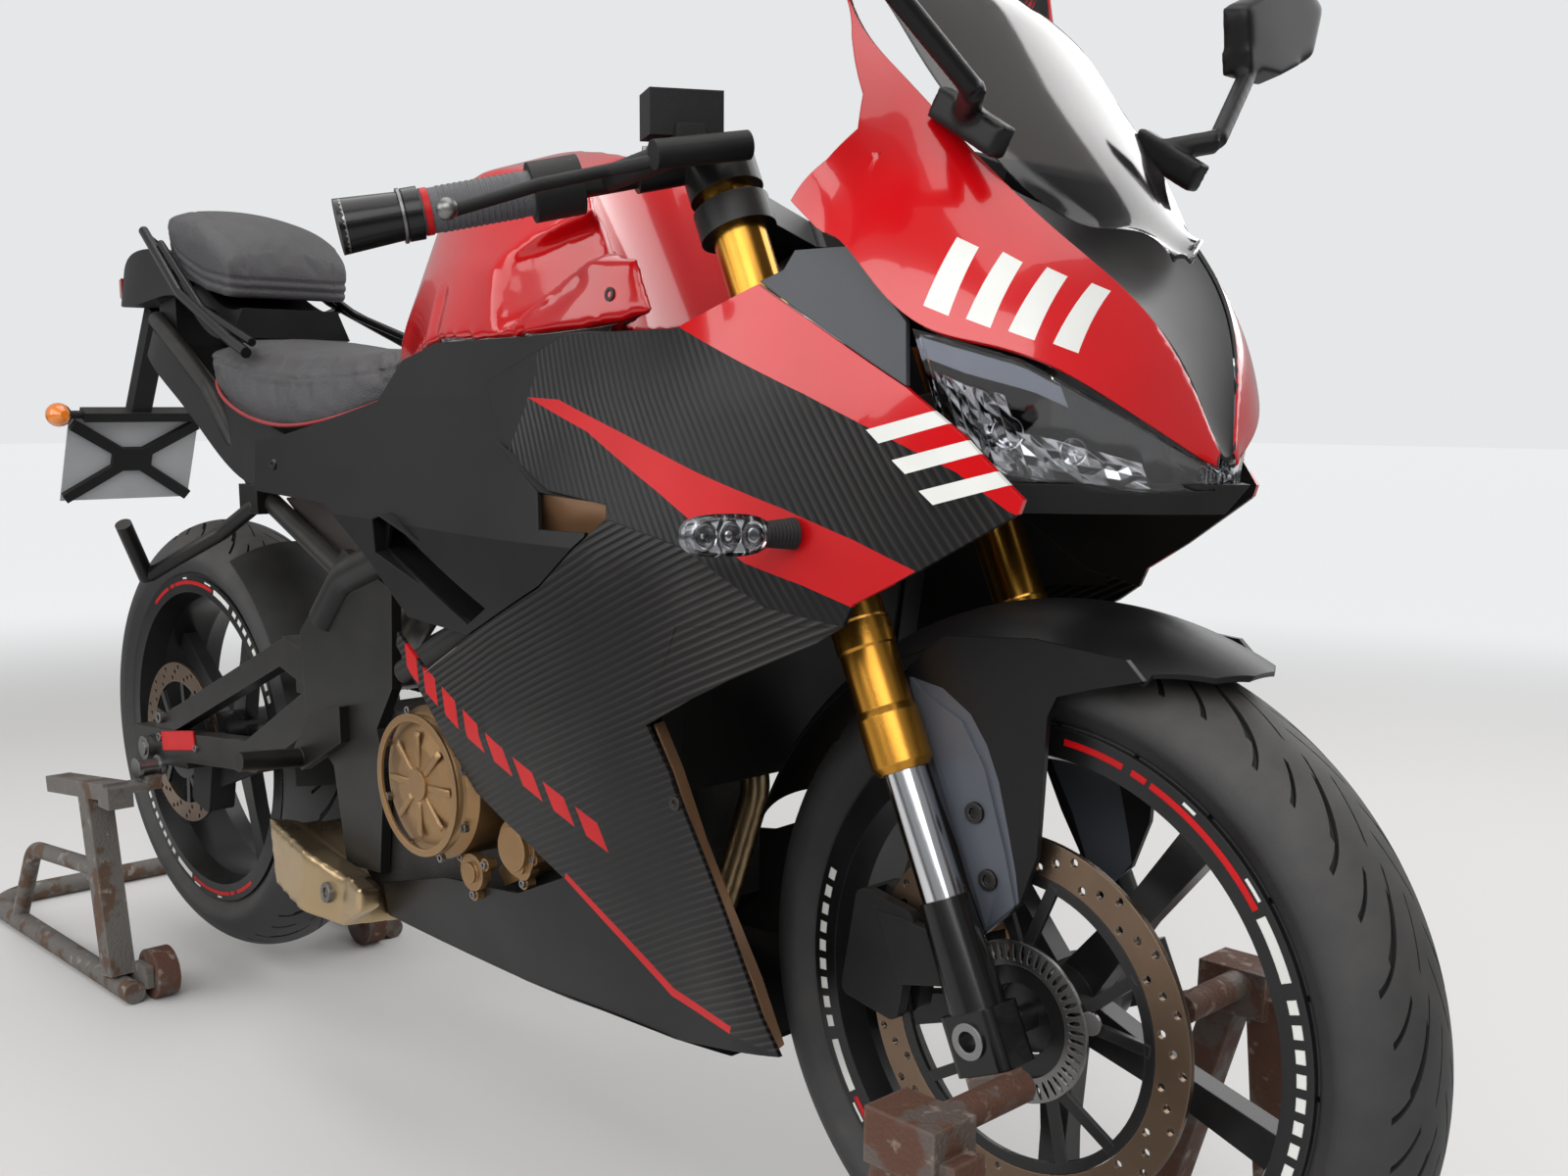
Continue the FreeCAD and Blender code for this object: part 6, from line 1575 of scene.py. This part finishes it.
STEPS = [(0.001, 0.0028, 0.0), (0.0065, 0.002, 0.0004)]
AHEAD, OUTWARD, UPWARD = Vector((1, 0, 0)), Vector((0, -1, 0)), Vector((0, 0, 1))
RESERVOIR_FACES = [
    # way it faces, up, width, height, distance from the middle
    (AHEAD, UPWARD, RESERVOIR_WIDE, RESERVOIR_TALL, RESERVOIR_DEEP / 2),
    (OUTWARD, UPWARD, RESERVOIR_DEEP, RESERVOIR_TALL, RESERVOIR_WIDE / 2),
    (UPWARD, AHEAD, RESERVOIR_WIDE, RESERVOIR_DEEP, RESERVOIR_TALL / 2),
]
reservoir = bmesh.new()
for way, up, width, height, reach in RESERVOIR_FACES:
    fresh_from = set(reservoir.verts)
    stepped_frame(reservoir, way, up, width, height, STEPS)
    fresh = [v for v in reservoir.verts if v not in fresh_from]
    bmesh.ops.translate(reservoir, verts=fresh, vec=way * reach)
bmesh.ops.rotate(reservoir, verts=reservoir.verts, cent=(0, 0, 0), matrix=reservoir_turn)
bmesh.ops.translate(reservoir, verts=reservoir.verts, vec=RESERVOIR)
place_piece(reservoir, "reservoir_steps", "steering", "gloss_black")

controls = NODES["bar_controls"].data
lever_tip = min((v.co for v in controls.vertices), key=lambda co: co.y).copy()
balls = bmesh.new()
tip = bmesh.ops.create_uvsphere(balls, u_segments=20, v_segments=14, radius=0.0082)["verts"]
bmesh.ops.translate(balls, verts=tip, vec=lever_tip + Vector((0.002, 0.004, 0.0)))
mirrored(balls)
place_piece(balls, "lever_balls", "steering", "plain_steel", 60.0)
bar_rows = []
for share in (0.16, 0.42):
    for side in (-1, 1):
        place = on_bar(share) + Vector((0.012 * side, 0, 0.0175))
        bar_rows.append((place, (0, 0, 1), 0.004, 0.004))
screws("clamp_screws", "steering", bar_rows, "plain_steel")
print("lever tip", tuple(round(c, 3) for c in lever_tip))

# %% [markdown]
# A drive chain is read from its links: two dumbbell plates and a roller for every pin, with
# every second pair set further out. The run is two straight lines that touch both sprockets
# and an arc round each, so a point at any length along it is worked out, not listed.

# %% Drive chain
SPROCKET_FRONT = Vector((-0.110, 0.0, 0.404))
SPROCKET_REAR = Vector((-0.691, 0.0, 0.336))
RADIUS_FRONT, RADIUS_REAR = 0.034, 0.092
CHAIN_Y, PITCH = 0.090, 0.0141
gap = SPROCKET_REAR - SPROCKET_FRONT
spread_angle = math.asin((RADIUS_REAR - RADIUS_FRONT) / gap.length)
base_angle = math.atan2(gap.z, gap.x)
straight = math.sqrt(gap.length ** 2 - (RADIUS_REAR - RADIUS_FRONT) ** 2)
rear_arc = RADIUS_REAR * (math.pi + 2 * spread_angle)
front_arc = RADIUS_FRONT * (math.pi - 2 * spread_angle)
CHAIN_LENGTH = 2 * straight + rear_arc + front_arc
LINKS = 2 * round(CHAIN_LENGTH / PITCH / 2)


def chain_point(way):
    """Place on the chain's loop after a length from the front sprocket's top."""
    first = base_angle - math.pi / 2 - spread_angle
    second = base_angle + math.pi / 2 + spread_angle
    way = way % CHAIN_LENGTH

    def rim(centre, radius, angle):
        return centre + Vector((math.cos(angle), 0.0, math.sin(angle))) * radius

    if way < straight:
        return rim(SPROCKET_FRONT, RADIUS_FRONT, first).lerp(
            rim(SPROCKET_REAR, RADIUS_REAR, first), way / straight)
    way -= straight
    if way < rear_arc:
        return rim(SPROCKET_REAR, RADIUS_REAR, first + way / RADIUS_REAR)
    way -= rear_arc
    if way < straight:
        return rim(SPROCKET_REAR, RADIUS_REAR, second).lerp(
            rim(SPROCKET_FRONT, RADIUS_FRONT, second), way / straight)
    way -= straight
    return rim(SPROCKET_FRONT, RADIUS_FRONT, second + way / RADIUS_FRONT)


ACROSS = Matrix.Rotation(math.pi / 2, 3, "X")
links = bmesh.new()
for number in range(LINKS):
    start = chain_point(CHAIN_LENGTH * number / LINKS)
    stop = chain_point(CHAIN_LENGTH * (number + 1) / LINKS)
    heading = math.atan2(stop.z - start.z, stop.x - start.x)
    middle = start.lerp(stop, 0.5)
    spin_y = Matrix.Rotation(-heading, 3, "Y")
    reach = 0.0050 if number % 2 else 0.0066
    for side in (-1, 1):
        outline = []
        for step in range(12):
            angle = math.tau * step / 12
            x = math.cos(angle) * 0.0048 + math.copysign(PITCH / 2, math.cos(angle))
            z = math.sin(angle) * (0.0056 if abs(math.cos(angle)) > 0.3 else 0.0040)
            outline.append(links.verts.new(middle + spin_y @ Vector((x, 0.0, z))
                                           + Vector((0, CHAIN_Y + side * reach, 0))))
        plate = links.faces.new(outline)
        grown = bmesh.ops.extrude_face_region(links, geom=[plate])["geom"]
        lifted = [v for v in grown if isinstance(v, bmesh.types.BMVert)]
        bmesh.ops.translate(links, verts=lifted, vec=(0, 0.0014 * side, 0))
    roller = bmesh.ops.create_cone(links, cap_ends=True, segments=10, radius1=0.0042,
                                   radius2=0.0042, depth=0.0165)["verts"]
    bmesh.ops.rotate(links, verts=roller, cent=(0, 0, 0), matrix=ACROSS)
    bmesh.ops.translate(links, verts=roller, vec=start + Vector((0, CHAIN_Y, 0)))
bmesh.ops.recalc_face_normals(links, faces=links.faces)
chain_piece = place_piece(links, "chain_links", "bike", "oiled_chain")
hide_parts("chain")
print("links", LINKS, "faces", len(chain_piece.data.polygons))

# %% [markdown]
# Small parts fill the space round the rear wheel: the flat plate behind the peg, the red block
# at the end of the swingarm and the screws of the chain adjuster. All of them are plain
# blocks, plates and screws.

# %% Small parts
inner_plates = bmesh.new()
INNER_PLATE = [(-342, 685), (-182, 697), (-146, 654), (-176, 583), (-264, 614), (-327, 672)]
face = inner_plates.faces.new([inner_plates.verts.new(metres(x, -100, z))
                               for x, z in INNER_PLATE])
# Known fault: the face has no normal yet, so both insets get no width and leave faces of no
# area, and the plate's pressed edge doesn't show. face.normal_update() is missing here too.
bmesh.ops.inset_individual(inner_plates, faces=[face], thickness=0.012, depth=0.0)
bmesh.ops.inset_individual(inner_plates, faces=[face], thickness=0.004, depth=-0.003)
PAINT["brown_plastic"] = finish("brown_plastic", display(58, 50, 46), display(48, 42, 40),
                                (0.5, 0.6), grain=(1400.0, 0.0002), dust=0.2, shine=0.3)
thin_pair(inner_plates, 0.003, "inner_plates", "brown_plastic")
red_blocks = bmesh.new()
bar_block(red_blocks, (-0.600, -0.1358, 0.359), (0.100, 0.0024, 0.026),
          Matrix.Rotation(math.radians(-9.0), 3, "Y"))
place_piece(red_blocks, "swingarm_plate", "bike", "decal_red")
screws("rear_screws", "bike", [
    ((-0.650, -0.1360, 0.383), (0, -1, 0), 0.008, 0.008),
    ((-0.548, -0.1360, 0.357), (0, -1, 0), 0.005, 0.005),
    ((-0.655, -0.1360, 0.356), (0, -1, 0), 0.006, 0.006),
], "plain_steel")
print("small parts done")

# %% [markdown]
# The side panel ends in a curve that runs up to the fork, just behind the lamp side. The
# packed panel stops at a straight notch there, so a thin curved corner of the same film is
# set into it. It is one outline of points in the side view, bent to the panel's own bulge.

# %% Panel corner
CORNER = [(436, 546), (455, 590), (472, 628), (515, 641), (557, 650), (590, 646), (620, 641),
          (598, 627), (566, 612), (526, 594), (484, 573)]


def panel_bulge(x, z):
    """How far out the side panel is at a place near the fork, in millimetres."""
    return 213.5 - 0.12 * (x - 472) - 0.14 * max(0, x - 557) - 0.05 * (628 - z)


def folded_face(points, thickness, piece_name, finish_name, angle):
    """One bent face through points in millimetres, with a wall, on both sides of the bike."""
    bm = bmesh.new()
    face = bm.faces.new([bm.verts.new(metres(*point)) for point in points])
    bmesh.ops.triangulate(bm, faces=[face])
    thin_pair(bm, thickness, piece_name, finish_name, angle)


folded_face([(x, -panel_bulge(x, z), z) for x, z in CORNER], 0.003, "panel_corners",
            "lower_film", 40.0)

# %% [markdown]
# Between the side panel and its cover the real bodywork folds into a step: a narrow shoulder
# that catches no light, and under it a lip that faces down and out, in a painted bronze light
# tone. Two folded faces close the gap. A thin bright steel line along the edge where the two
# panels meet below it is a painted highlight.

# %% Folded step and painted edge highlight
SHOULDER = [(226, -205, 763), (300, -212, 722), (396, -213, 716), (400, -213, 722),
            (315, -204, 731)]
LIP = [(286, -207, 727), (396, -212, 716), (392, -199, 688), (288, -197, 684)]
folded_face(SHOULDER, 0.002, "panel_shoulders", "satin_black", 20.0)
# The lip takes the same painted bronze light tone.
folded_face(LIP, 0.002, "panel_lips", "painted_lit_bronze", 20.0)
# A thin bright steel rod along the panels' seam: a painted highlight on the edge.
EDGE_HIGHLIGHT_LINE = [(0.100, 0.2000, 0.545), (0.187, 0.2092, 0.589), (0.262, 0.2152, 0.622)]
for side, name in ((-1, "panel_edge_right"), (1, "panel_edge_left")):
    smooth_tube(name, [(x, y * side, z) for x, y, z in EDGE_HIGHLIGHT_LINE], 0.0008, "bike", "plain_steel")
print("step closed")
